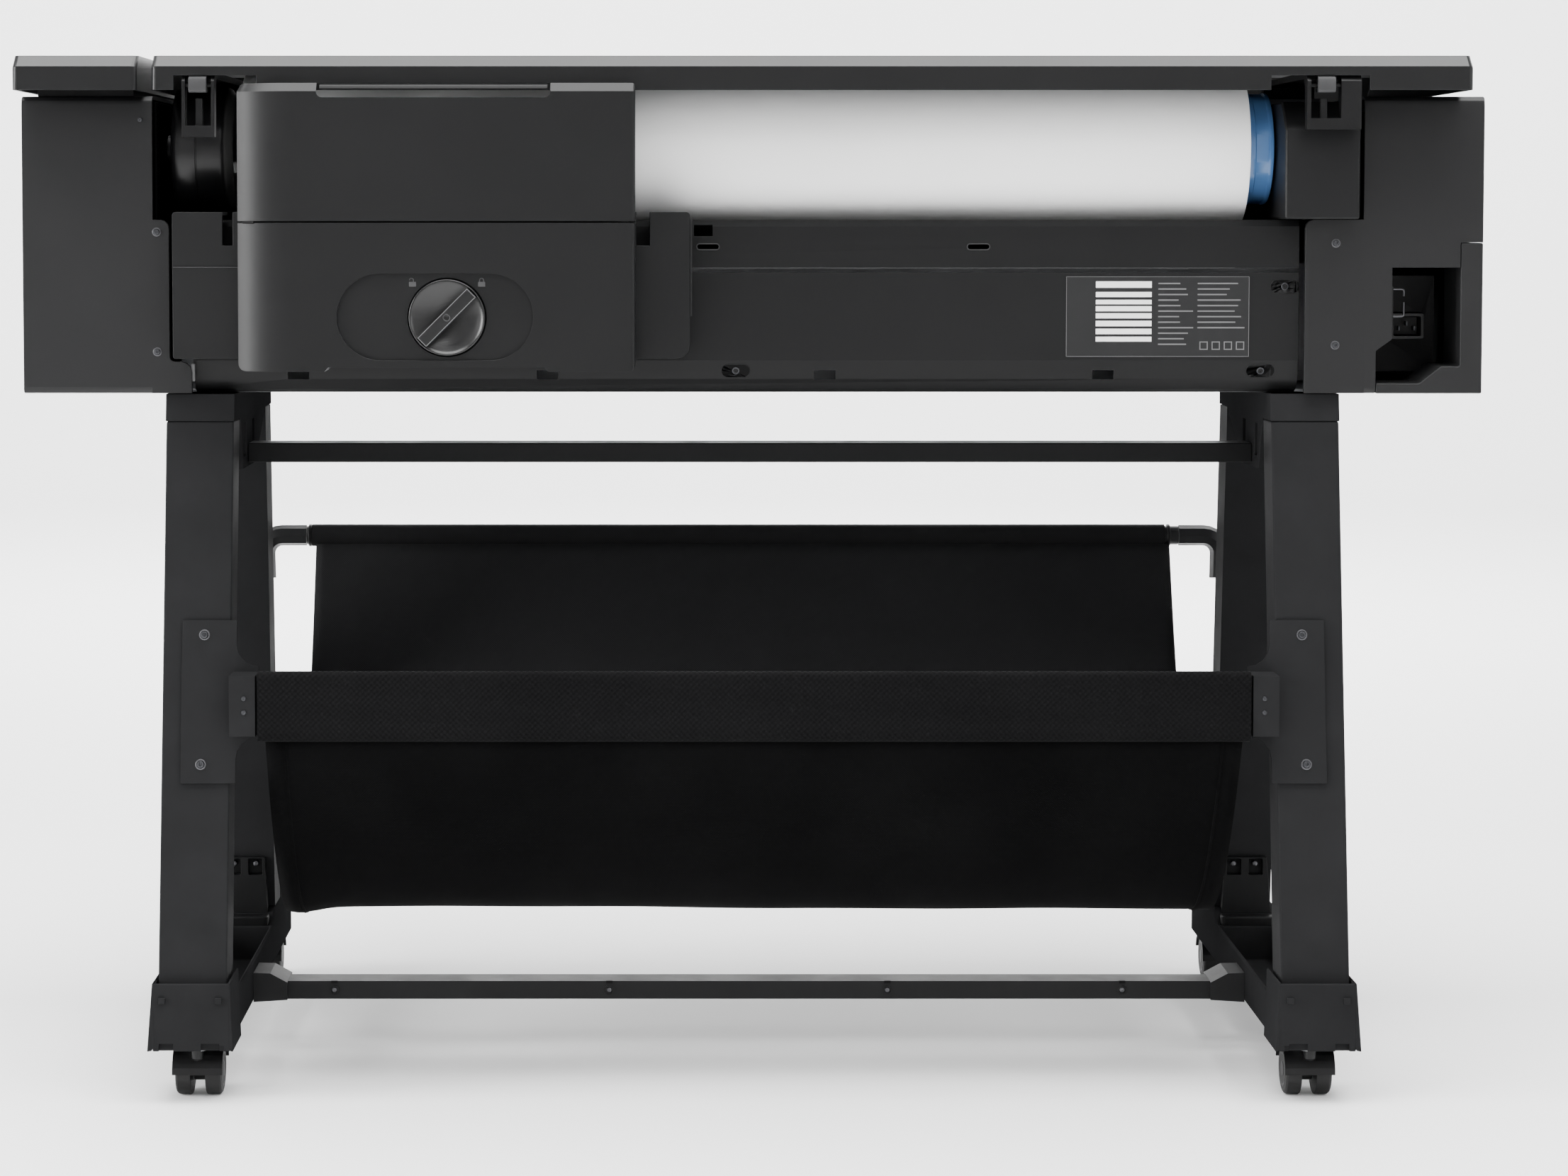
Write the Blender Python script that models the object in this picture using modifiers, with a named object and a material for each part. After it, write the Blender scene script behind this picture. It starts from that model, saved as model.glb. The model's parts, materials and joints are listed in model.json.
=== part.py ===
"""Large format plotter on a wheeled stand, built as separate parts.

Metres, +Z up, the floor at Z = 0 and the origin under the middle of the machine.
The user stands on the +Y side. The roll and the sheet feeder are on the -Y side.
"""
import math

import bmesh
import bpy
from mathutils import Matrix, Vector

GAP = 0.0003
STEEL_WALL = 0.0018

# Whole machine
HALF_WIDTH = 0.6585
FRONT_Y = 0.3025
REAR_Y = -0.3025
TOP_Z = 0.932
BODY_BOTTOM = 0.629
REAR_WALL_Y = -0.218
PANEL_Y = -0.210
COVER_TOP = 0.897

# Stand
LEG_CENTRE = 0.500
REAR_LEG_HALF = 0.0305
FRONT_LEG_X = (0.4695, 0.526)
LEG_DEPTH = 0.044
LEG_TOP = 0.6037
REAR_LEG_TOP_Y = -0.2138
REAR_LEG_SLOPE = 0.153
FRONT_LEG_TOP_Y = 0.0336
FRONT_LEG_SLOPE = 0.1175
BEAM_X = (0.4682, 0.5318)
BEAM_Z = (0.048, 0.086)
BEAM_NOSE_Z = 0.100
BEAM_Y = (-0.2985, 0.230)
CASTER_Y = (-0.272, 0.205)
CASTER_X = 0.4975
CASTER_TRAIL = 0.014
WHEEL_RADIUS = 0.0225
STEM_RADIUS = 0.005

# Stacking bin
BIN_HALF = 0.4425
BAR_Y = (-0.283, -0.275)
BAR_Z = (0.3235, 0.3835)
TUBE_Y = 0.190
TUBE_Z = 0.4635
TUBE_RADIUS = 0.0095
BIN_PIVOT = (0.130, 0.335)
SLING_HALF = 0.4355
SLING_THICK = 0.003

# Roll
ROLL_AXIS = (-0.140, 0.851)
ROLL_RADIUS = 0.070
CORE_RADIUS = 0.0385
ROLL_X = (-0.4638, 0.4500)
SHAFT_RADIUS = 0.0125

# Lid
LID_X = (-0.535, 0.638)
LID_AXIS = (-0.2555, 0.9055)
LID_WALL = 0.003

# Sheet feeder
FEEDER_X = (-0.458, -0.1055)
FEEDER_Y = (-0.290, -0.2503)
FLAP_AXIS = (-0.2855, 0.789)
FLAP_ROUND = 0.0045
KNOB_CENTRE = (-0.2716, 0.700)
KNOB_RADIUS = 0.0344

# Print engine
INNER_X = (-0.5380, 0.5475)
CARRIAGE_X = (0.460, 0.540)
RAIL_AXIS = (0.020, 0.862)
ROLLER_AXIS = (0.038, 0.789)
CONTROL_X = (-HALF_WIDTH, -0.548)
SLOPE_START = (0.165, TOP_Z)
SLOPE_END = (0.262, 0.872)
INK_DOOR_X = (0.5665, 0.6495)
INK_DOOR_Z = (0.7025, 0.7855)
INK_DOOR_AXIS = (0.3012, 0.7045)

FINISHES = {
    "body": ((0.030, 0.031, 0.033), 0.55, 0.0),
    "lid": ((0.036, 0.037, 0.040), 0.50, 0.0),
    "steel_black": ((0.022, 0.022, 0.024), 0.48, 0.2),
    "steel": ((0.55, 0.56, 0.58), 0.35, 1.0),
    "plastic_black": ((0.010, 0.010, 0.011), 0.45, 0.0),
    "rubber": ((0.012, 0.012, 0.012), 0.80, 0.0),
    "fabric": ((0.006, 0.006, 0.007), 0.90, 0.0),
    "paper": ((0.85, 0.85, 0.84), 0.75, 0.0),
    "blue": ((0.03, 0.13, 0.33), 0.30, 0.0),
    "glass": ((0.010, 0.011, 0.013), 0.08, 0.0),
    "ink": ((0.05, 0.06, 0.08), 0.35, 0.0),
}

# Plane name to the turn that lays a flat outline in that plane, and the axis it is extruded along
PLANES = {
    "YZ": ((math.pi / 2, 0.0, math.pi / 2), 0),
    "XZ": ((math.pi / 2, 0.0, 0.0), 1),
    "XY": ((0.0, 0.0, 0.0), 2),
}


def clear_scene():
    for obj in list(bpy.data.objects):
        bpy.data.objects.remove(obj, do_unlink=True)


def new_collection(name):
    collection = bpy.data.collections.new(name)
    bpy.context.scene.collection.children.link(collection)
    return collection


clear_scene()
PARTS = new_collection("large_format_plotter")
CUTTERS = new_collection("cutters")


# ---------------------------------------------------------------- modelling tools

def new_object(name, mesh):
    obj = bpy.data.objects.new(name, mesh)
    CUTTERS.objects.link(obj)
    obj.hide_render = True
    obj.display_type = "WIRE"
    return obj


def as_part(obj, finish, origin=(0.0, 0.0, 0.0)):
    """Make the object a part of the machine: its own material, its origin, and smooth shading."""
    colour, roughness, metallic = FINISHES[finish]
    material = bpy.data.materials.new(obj.name)
    material.use_nodes = True
    shader = material.node_tree.nodes["Principled BSDF"]
    shader.inputs["Base Color"].default_value = (*colour, 1.0)
    shader.inputs["Roughness"].default_value = roughness
    shader.inputs["Metallic"].default_value = metallic
    obj.data.materials.clear()
    obj.data.materials.append(material)
    obj.data.transform(Matrix.Translation(-Vector(origin)))
    obj.location = origin
    obj.data.shade_smooth()
    obj.data.set_sharp_from_angle(angle=math.radians(32))
    CUTTERS.objects.unlink(obj)
    PARTS.objects.link(obj)
    obj.hide_render = False
    obj.display_type = "TEXTURED"
    return obj


def baked(obj, dissolve=True):
    """Replace an object that has modifiers or is a curve with its finished mesh."""
    bpy.context.view_layer.update()
    graph = bpy.context.evaluated_depsgraph_get()
    mesh = bpy.data.meshes.new_from_object(obj.evaluated_get(graph))
    mesh.transform(obj.matrix_world)
    name = obj.name
    bpy.data.objects.remove(obj, do_unlink=True)
    solid = bmesh.new()
    solid.from_mesh(mesh)
    bmesh.ops.remove_doubles(solid, verts=solid.verts, dist=0.00002)
    if dissolve:
        bmesh.ops.dissolve_limit(
            solid, angle_limit=math.radians(0.5), verts=solid.verts, edges=solid.edges)
    bmesh.ops.recalc_face_normals(solid, faces=solid.faces)
    solid.to_mesh(mesh)
    solid.free()
    return new_object(name, mesh)


def box(name, x, y, z):
    """A box from three (low, high) pairs."""
    solid = bmesh.new()
    bmesh.ops.create_cube(solid, size=1.0)
    size = [high - low for low, high in (x, y, z)]
    centre = [(high + low) / 2 for low, high in (x, y, z)]
    bmesh.ops.scale(solid, vec=size, verts=solid.verts)
    bmesh.ops.translate(solid, vec=centre, verts=solid.verts)
    mesh = bpy.data.meshes.new(name)
    solid.to_mesh(mesh)
    solid.free()
    return new_object(name, mesh)


def prism(name, plane, outline, low, high, holes=(), dissolve=True):
    """A flat outline in the YZ, XZ or XY plane, extruded from low to high along the third axis."""
    turn, axis = PLANES[plane]
    curve = bpy.data.curves.new(name, "CURVE")
    curve.dimensions = "2D"
    curve.fill_mode = "BOTH"
    curve.extrude = (high - low) / 2
    for loop in (outline, *holes):
        spline = curve.splines.new("POLY")
        spline.points.add(len(loop) - 1)
        for point, (u, v) in zip(spline.points, loop):
            point.co = (u, v, 0.0, 1.0)
        spline.use_cyclic_u = True
    obj = new_object(name, curve)
    obj.rotation_euler = turn
    obj.location[axis] = (low + high) / 2
    return baked(obj, dissolve)


def cylinder(name, start, end, radius, sides=24, end_radius=None):
    start, end = Vector(start), Vector(end)
    solid = bmesh.new()
    bmesh.ops.create_cone(
        solid, cap_ends=True, segments=sides, radius1=radius,
        radius2=radius if end_radius is None else end_radius, depth=(end - start).length)
    turn = (end - start).to_track_quat("Z", "Y").to_matrix().to_4x4()
    bmesh.ops.transform(solid, matrix=Matrix.Translation((start + end) / 2) @ turn, verts=solid.verts)
    mesh = bpy.data.meshes.new(name)
    solid.to_mesh(mesh)
    solid.free()
    return new_object(name, mesh)


def turned_on_x(name, profile, centre, steps):
    """Turn a profile of (radius, x) about an axis along X through centre = (y, z)."""
    mesh = bpy.data.meshes.new(name)
    points = [(radius, 0.0, along) for radius, along in profile]
    mesh.from_pydata(points, [(i, i + 1) for i in range(len(points) - 1)], [])
    obj = new_object(name, mesh)
    screw = obj.modifiers.new("turn", "SCREW")
    screw.steps = steps
    screw.render_steps = steps
    screw.use_merge_vertices = True
    screw.merge_threshold = 0.00001
    obj.rotation_euler = (0.0, math.pi / 2, 0.0)
    obj.location = (0.0, *centre)
    return baked(obj, dissolve=False)


def tube(name, points, radius, resolution=2):
    curve = bpy.data.curves.new(name, "CURVE")
    curve.dimensions = "3D"
    curve.bevel_depth = radius
    curve.bevel_resolution = resolution
    curve.use_fill_caps = True
    spline = curve.splines.new("POLY")
    spline.points.add(len(points) - 1)
    for point, place in zip(spline.points, points):
        point.co = (*place, 1.0)
    return baked(new_object(name, curve), dissolve=False)


def boolean(obj, other, operation):
    modifier = obj.modifiers.new(other.name, "BOOLEAN")
    modifier.operation = operation
    modifier.object = other
    modifier.solver = "EXACT"
    return obj


def cut(obj, *others):
    for other in others:
        boolean(obj, other, "DIFFERENCE")
    return obj


def join(obj, *others):
    for other in others:
        boolean(obj, other, "UNION")
    return obj


def bevel(obj, width, segments=1, angle=40):
    modifier = obj.modifiers.new("edges", "BEVEL")
    modifier.width = width
    modifier.segments = segments
    modifier.limit_method = "ANGLE"
    modifier.angle_limit = math.radians(angle)
    return obj


def rounded(outline, radii, steps=4):
    """Round the corners of a closed outline. radii is one radius, or one for each corner."""
    if not isinstance(radii, (list, tuple)):
        radii = [radii] * len(outline)
    result = []
    for index, radius in enumerate(radii):
        corner = Vector(outline[index])
        before = (Vector(outline[index - 1]) - corner).normalized()
        after = (Vector(outline[(index + 1) % len(outline)]) - corner).normalized()
        if radius <= 0:
            result.append(tuple(corner))
            continue
        half = before.angle(after) / 2
        centre = corner + (before + after).normalized() * radius / math.sin(half)
        first = corner + before * radius / math.tan(half) - centre
        last = corner + after * radius / math.tan(half) - centre
        sweep = first.angle_signed(last)
        for step in range(steps + 1):
            angle = -sweep * step / steps
            turned = Vector((
                first.x * math.cos(angle) - first.y * math.sin(angle),
                first.x * math.sin(angle) + first.y * math.cos(angle)))
            result.append(tuple(centre + turned))
    return result


def rectangle(u, v):
    return [(u[0], v[0]), (u[1], v[0]), (u[1], v[1]), (u[0], v[1])]


def circle(centre, radius, sides=24, start=0.0, sweep=2 * math.pi):
    closed = abs(sweep - 2 * math.pi) < 0.001
    count = sides if closed else sides + 1
    angles = [start + sweep * i / sides for i in range(count)]
    return [(centre[0] + radius * math.cos(a), centre[1] + radius * math.sin(a)) for a in angles]


def mirrored_x(pair, side):
    """The (low, high) pair on the +X side, or its mirror image where side is -1."""
    low, high = sorted((side * pair[0], side * pair[1]))
    return low, high


def side_name(stem, side):
    return f"{stem}_{'right' if side > 0 else 'left'}"


# ---------------------------------------------------------------- stand

def rear_leg_y(z):
    """Y of the rear leg's rear face at height z."""
    return REAR_LEG_TOP_Y - REAR_LEG_SLOPE * (LEG_TOP - z)


def front_leg_y(z):
    """Y of the front leg's rear face at height z."""
    return FRONT_LEG_TOP_Y + FRONT_LEG_SLOPE * (LEG_TOP - z)


def hollow_leg(name, x, face_y, bottom):
    """A slanted square tube, open at both ends."""
    wall = STEEL_WALL
    top = LEG_TOP
    past = 0.02
    outline = [
        (face_y(bottom), bottom), (face_y(bottom) + LEG_DEPTH, bottom),
        (face_y(top) + LEG_DEPTH, top), (face_y(top), top)]
    inner = [
        (face_y(bottom - past) + wall, bottom - past),
        (face_y(bottom - past) + LEG_DEPTH - wall, bottom - past),
        (face_y(top + past) + LEG_DEPTH - wall, top + past),
        (face_y(top + past) + wall, top + past)]
    leg = prism(name, "YZ", outline, *x)
    return cut(leg, prism(name + "_inside", "YZ", inner, x[0] + wall, x[1] - wall))


def build_rear_leg(side):
    x = mirrored_x((LEG_CENTRE - REAR_LEG_HALF, LEG_CENTRE + REAR_LEG_HALF), side)
    leg = hollow_leg(side_name("rear_leg", side), x, rear_leg_y, BEAM_Z[1] + GAP)
    as_part(leg, "steel_black")


def build_front_leg(side):
    """The front leg, with the lug and pin that the bin's side rod turns on."""
    lug_x = mirrored_x((0.4955, 0.5035), side)
    pin_x = mirrored_x((0.4800, 0.4990), side)
    name = side_name("front_leg", side)
    leg = hollow_leg(name, mirrored_x(FRONT_LEG_X, side), front_leg_y, BEAM_NOSE_Z + GAP)
    y, z = BIN_PIVOT
    front = front_leg_y(z) + LEG_DEPTH
    lug = box(name + "_lug", lug_x, (front - 0.0015, y + 0.007), (z - 0.007, z + 0.007))
    pin = cylinder(name + "_pin", (pin_x[0], y, z), (pin_x[1], y, z), 0.003, sides=10)
    as_part(join(leg, lug, pin), "steel_black")


def build_base_beam(side):
    """A long channel, open on top between the legs, with a taller nose under the front leg."""
    name = side_name("base_beam", side)
    x = mirrored_x(BEAM_X, side)
    low, high = BEAM_Z
    outline = [
        (BEAM_Y[0], low), (BEAM_Y[1], low), (BEAM_Y[1], 0.076), (BEAM_Y[1] - 0.018, BEAM_NOSE_Z),
        (0.085, BEAM_NOSE_Z), (0.068, high), (BEAM_Y[0], high)]
    beam = bevel(prism(name, "YZ", outline, *x), 0.002, segments=2)
    channel = box(
        name + "_channel", mirrored_x((BEAM_X[0] + 0.0035, BEAM_X[1] - 0.0035), side),
        (-0.232, 0.062), (low + 0.004, 0.12))
    sockets = [
        cylinder(f"{name}_socket_{i}", (side * CASTER_X, y, low - 0.01), (side * CASTER_X, y, low + 0.024),
                 STEM_RADIUS + 2 * GAP, sides=16)
        for i, y in enumerate(CASTER_Y)]
    as_part(cut(beam, channel, *sockets), "steel_black")


def build_foot_cap(side):
    """A shell round the rear end of the base beam and the foot of the rear leg."""
    name = side_name("foot_cap", side)
    outer = mirrored_x((0.4657, 0.5343), side)
    inner = mirrored_x((0.4679, 0.5321), side)
    front = -0.236
    outline = [
        (outer[0], REAR_Y), (outer[1], REAR_Y), (outer[1], front), (inner[1], front),
        (inner[1], REAR_Y + 0.0035), (inner[0], REAR_Y + 0.0035), (inner[0], front), (outer[0], front)]
    cap = bevel(prism(name, "XY", outline, 0.0485, 0.109), 0.0007)
    notches = [
        box(f"{name}_notch_{i}", mirrored_x(x, side), (REAR_Y - 0.01, REAR_Y + 0.002), (0.04, 0.0535))
        for i, x in enumerate([(0.471, 0.484), (0.516, 0.529)])]
    as_part(cut(cap, *notches), "steel_black")


def build_leg_head(side):
    """The hollow head that joins the two legs under the body, open on top."""
    name = side_name("leg_head", side)
    top = BODY_BOTTOM - GAP
    rear, front = REAR_LEG_TOP_Y - 0.0005, FRONT_LEG_TOP_Y + LEG_DEPTH + 0.0005
    low = LEG_TOP + GAP
    outline = [
        (rear, low), (REAR_LEG_TOP_Y + LEG_DEPTH, low), (-0.150, 0.556), (-0.055, 0.556),
        (FRONT_LEG_TOP_Y - 0.004, low + GAP), (front, low + GAP), (front, top), (rear + 0.004, top)]
    head = prism(name, "YZ", outline, *mirrored_x((0.4688, 0.5312), side), dissolve=False)
    wall = 0.0035
    inside = [
        (rear + wall + 0.003, low + wall), (-0.1665, low + wall), (-0.147, 0.556 + wall),
        (-0.058, 0.556 + wall), (FRONT_LEG_TOP_Y - 0.006, low + wall + 0.001),
        (front - wall, low + wall + 0.001),
        (front - wall, top + 0.01), (rear + wall + 0.003, top + 0.01)]
    hollow = prism(name + "_inside", "YZ", inside, *mirrored_x((0.4723, 0.5277), side))
    slots = [
        prism(f"{name}_slot_{i}", "YZ", rectangle((y, y + 0.016), (0.568, 0.598)),
              *mirrored_x((0.46, 0.48), side))
        for i, y in enumerate([-0.143, -0.078])]
    as_part(cut(head, hollow, *slots), "steel_black")


def channel_bar(name, x, y, z, wall):
    """A C-channel along X, open towards the user's side."""
    outline = [
        (y[1], z[0]), (y[0], z[0]), (y[0], z[1]), (y[1], z[1]), (y[1], z[1] - wall),
        (y[0] + wall, z[1] - wall), (y[0] + wall, z[0] + wall), (y[1], z[0] + wall)]
    return prism(name, "YZ", outline, *x)


def build_crossbars():
    upper = channel_bar("upper_crossbar", (-0.4685, 0.4685), (-0.1175, -0.0825), (0.560, 0.578), 0.002)
    as_part(bevel(upper, 0.0008), "steel_black")
    lower = channel_bar("lower_crossbar", (-0.440, 0.440), (-0.100, -0.070), (0.050, 0.067), 0.0022)
    ends = []
    for side in (-1, 1):
        outline = [(side * x, z) for x, z in [
            (0.436, 0.0502), (0.4679, 0.0482), (0.4679, 0.076), (0.452, 0.0755), (0.436, 0.0668)]]
        ends.append(prism(side_name("bracket", side), "XZ", outline, -0.106, -0.060))
    as_part(join(lower, *ends), "steel_black")


def build_bin_bracket(side):
    """The plate on the rear leg and the arm that carries the bin's rear bar."""
    name = side_name("bin_bracket", side)
    middle = 0.354
    half = 0.073
    arm_half = 0.0315
    inner, outer, arm = 0.4640, 0.513, 0.4437
    fillet = 0.020
    upper = [(inner, half), *circle((inner - fillet, arm_half + fillet), fillet, 4, 0.0, -math.pi / 2)]
    lower = [(x, -z) for x, z in reversed(upper)]
    outline = [(side * x, z) for x, z in [(outer, half), *upper, *lower, (outer, -half)]]
    plate = prism(name, "XZ", outline, -0.0033, -GAP)
    plate.rotation_euler = (-math.atan(REAR_LEG_SLOPE), 0.0, 0.0)
    plate.location = (0.0, rear_leg_y(middle), middle)
    plate = baked(plate)
    arm_part = box(
        name + "_arm", mirrored_x((arm, inner + 0.003), side), (BAR_Y[0], rear_leg_y(middle) + 0.004),
        (middle - 0.027, middle + 0.027))
    as_part(bevel(join(plate, arm_part), 0.0006), "steel_black")


def build_stand():
    for side in (-1, 1):
        build_base_beam(side)
        build_rear_leg(side)
        build_front_leg(side)
        build_leg_head(side)
        build_foot_cap(side)
        build_bin_bracket(side)
    build_crossbars()


# ---------------------------------------------------------------- casters

def build_caster(place, x, y):
    """A hooded twin-wheel caster: the fork swivels about its stem, the wheels turn on their axle."""
    axle = (y + CASTER_TRAIL, WHEEL_RADIUS)
    web_outline = [
        (y - 0.009, 0.037), *circle(axle, 0.010, 8, math.pi, math.pi), (axle[0] + 0.010, 0.036),
        (axle[0] - 0.002, 0.0462), (y - 0.004, 0.0435)]
    web = prism(f"caster_fork_{place}", "YZ", web_outline, x - 0.005, x + 0.005)
    hood_outline = (
        circle(axle, 0.0252, 12, math.radians(15), math.radians(165))
        + circle(axle, 0.0236, 12, math.radians(180), -math.radians(165)))
    hood = prism(f"hood_{place}", "YZ", hood_outline, x - 0.0225, x + 0.0225)
    stem = cylinder(f"stem_{place}", (x, y, 0.038), (x, y, 0.070), STEM_RADIUS, sides=16)
    bore = cylinder(f"bore_{place}", (x - 0.02, *axle), (x + 0.02, *axle), 0.0042, sides=12)
    fork = cut(join(web, hood, stem), bore)
    as_part(fork, "plastic_black", (x, y, 0.0475))

    inner, outer, edge = 0.0065, 0.0205, 0.002
    half = [(0.0, outer), (WHEEL_RADIUS - edge, outer), (WHEEL_RADIUS, outer - edge),
            (WHEEL_RADIUS, inner), (0.0036, inner)]
    profile = half + [(radius, -along) for radius, along in reversed(half)]
    wheels = turned_on_x(f"caster_wheels_{place}", profile, axle, steps=24)
    wheels.location.x += x
    as_part(baked(wheels, dissolve=False), "rubber", (x, *axle))


def build_casters():
    for place, y in zip(("rear", "front"), CASTER_Y):
        for side in (-1, 1):
            build_caster(side_name(place, side), side * CASTER_X, y)


# ---------------------------------------------------------------- stacking bin

def smooth_path(points, steps):
    """Points along a smooth curve through the given points."""
    ends = [points[0], *points, points[-1]]
    result = []
    for before, start, end, after in zip(ends, ends[1:], ends[2:], ends[3:]):
        for step in range(steps):
            t = step / steps
            result.append(tuple(
                0.5 * (2 * b + (c - a) * t + (2 * a - 5 * b + 4 * c - d) * t ** 2
                       + (3 * b - a - 3 * c + d) * t ** 3)
                for a, b, c, d in zip(before, start, end, after)))
    return result + [points[-1]]


def band(path, thickness):
    """The closed outline of a band of even thickness along an open path."""
    offsets = []
    for index, point in enumerate(path):
        ahead = Vector(path[min(index + 1, len(path) - 1)])
        behind = Vector(path[max(index - 1, 0)])
        along = (ahead - behind).normalized()
        offsets.append((Vector(point), Vector((-along.y, along.x)) * thickness / 2))
    return ([tuple(point + shift) for point, shift in offsets]
            + [tuple(point - shift) for point, shift in reversed(offsets)])


def build_sling():
    drop = [
        (-0.274, 0.318), (-0.262, 0.262), (-0.206, 0.190), (-0.140, 0.150), (-0.070, 0.137),
        (0.020, 0.148), (0.096, 0.196), (0.146, 0.280), (0.168, 0.365), (0.175, 0.444)]
    outline = band(smooth_path(drop, 2), SLING_THICK)
    as_part(prism("bin_sling", "YZ", outline, -SLING_HALF, SLING_HALF), "fabric")


def build_bin_side_rod(side):
    """The elbow at the end of the front tube and the thin rod down to its pivot."""
    name = side_name("bin_side_rod", side)
    bend = 0.018
    outer = 0.4885
    top = [(0.4457, TUBE_Z)] + [
        (outer - bend + bend * math.sin(a), TUBE_Z - bend + bend * math.cos(a))
        for a in (math.radians(15 * i) for i in range(7))]
    path = [(side * x, TUBE_Y, z) for x, z in top] + [(side * 0.4875, TUBE_Y - 0.004, 0.420)]
    elbow = tube(name, path, 0.0105, resolution=2)
    y, z = BIN_PIVOT
    eye_x = mirrored_x((0.4815, 0.4905), side)
    rod = cylinder(
        name + "_rod", (side * 0.486, y + 0.003, z + 0.004), (side * 0.4875, TUBE_Y - 0.004, 0.424),
        0.0034, sides=10)
    eye = cylinder(name + "_eye", (eye_x[0], y, z), (eye_x[1], y, z), 0.0075, sides=16)
    hole = cylinder(name + "_hole", (side * 0.47, y, z), (side * 0.50, y, z), 0.0036, sides=12)
    as_part(cut(join(elbow, rod, eye), hole), "plastic_black", (0.0, y, z))


def build_bin():
    bar = box("bin_rear_bar", (-BIN_HALF, BIN_HALF), BAR_Y, BAR_Z)
    as_part(bevel(bar, 0.002, segments=2), "steel_black")
    build_sling()
    front = cylinder("bin_front_tube", (-0.445, TUBE_Y, TUBE_Z), (0.445, TUBE_Y, TUBE_Z), TUBE_RADIUS)
    as_part(front, "steel_black", (0.0, *BIN_PIVOT))
    for side in (-1, 1):
        build_bin_side_rod(side)


# ---------------------------------------------------------------- printer body

COVER_X = {-1: (-HALF_WIDTH, -0.541), 1: (0.5505, HALF_WIDTH)}
COVER_OUTLINE = [
    (REAR_WALL_Y, 0.6293), (REAR_WALL_Y, COVER_TOP), (0.150, COVER_TOP), (0.247, 0.840),
    (0.296, 0.806), (FRONT_Y, 0.790), (FRONT_Y, 0.699), (0.262, 0.6293)]
COVER_INSIDE = [
    (-0.215, 0.6323), (-0.215, 0.894), (0.149, 0.894), (0.246, 0.8365),
    (0.2938, 0.8035), (0.2995, 0.7890), (0.2995, 0.700), (0.2605, 0.6323)]
BAY_OUTLINE = [
    (0.5767, 0.743), (0.638, 0.743), (0.638, 0.6544), (0.621, 0.6544), (0.6015, 0.639),
    (0.5624, 0.639), (0.5624, 0.6677), (0.5767, 0.678)]
CORNER_DEPTH = (REAR_WALL_Y, -0.150)


def corner_outline(gap):
    """The L-shaped lower corner of the right end cover, shrunk by a gap."""
    inner = [(0.638, 0.7656), (0.638, 0.6544), (0.621, 0.6544), (0.6015, 0.639), (0.5624, 0.639)]
    moved = [(x + gap, z - gap) for x, z in inner]
    return [(0.5624 + gap, 0.6293), (HALF_WIDTH, 0.6293), (HALF_WIDTH, 0.7656 - gap), *moved]


def build_end_cover(side):
    """A moulded shell, open towards the middle, with a flange that laps over the rear panels."""
    name = side_name("end_cover", side)
    x = COVER_X[side]
    outline = rounded(COVER_OUTLINE, [0.006, 0.008, 0.020, 0.010, 0.010, 0.010, 0.020, 0.006], steps=3)
    cover = prism(name, "YZ", outline, *x)
    wall = 0.003
    inside_x = (x[0] - 0.01, x[1] - wall) if side > 0 else (x[0] + wall, x[1] + 0.01)
    inside = prism(name + "_inside", "YZ", COVER_INSIDE, *inside_x)
    flange_y = (REAR_WALL_Y, -0.2118)
    if side > 0:
        flange_outline = rounded(
            [(0.498, 0.6296), (0.5520, 0.6296), (0.5520, 0.7862), (0.498, 0.7862)],
            [0, 0, 0, 0.008], steps=3)
    else:
        flange_outline = rounded(
            [(-0.5425, 0.6296), (-0.5065, 0.6296), (-0.5065, 0.658), (-0.5265, 0.658),
             (-0.5265, 0.786), (-0.5425, 0.786)],
            [0, 0, 0.010, 0.004, 0.008, 0], steps=3)
    flange = prism(name + "_flange", "XZ", flange_outline, *flange_y)
    cut(cover, inside)
    join(cover, flange)
    if side > 0:
        depth = (REAR_WALL_Y - 0.01, CORNER_DEPTH[1] + GAP)
        corner = prism(name + "_corner", "XZ", [
            (0.5624, 0.620), (0.670, 0.620), (0.670, 0.7656), (0.638, 0.7656), (0.638, 0.6544),
            (0.621, 0.6544), (0.6015, 0.639), (0.5624, 0.639)], *depth)
        bay = prism(name + "_bay", "XZ", BAY_OUTLINE, REAR_WALL_Y - 0.01, -0.213)
        ink = box(name + "_ink", (INK_DOOR_X[0] - GAP, INK_DOOR_X[1] + GAP), (0.29, 0.31),
                  (INK_DOOR_Z[0] - GAP, INK_DOOR_Z[1] + GAP))
        cut(cover, corner, bay, ink)
    as_part(cover, "body")


def build_corner_cover():
    as_part(prism("corner_cover", "XZ", corner_outline(0.0004), *CORNER_DEPTH), "body")


def slot_cutter(name, x, z, length, height):
    """A cutter for a slot with round ends through a rear panel."""
    radius = height / 2
    half = length / 2 - radius
    outline = (circle((x + half, z), radius, 4, -math.pi / 2, math.pi)
               + circle((x - half, z), radius, 4, math.pi / 2, math.pi))
    return prism(name, "XZ", outline, -0.23, -0.195)


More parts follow.
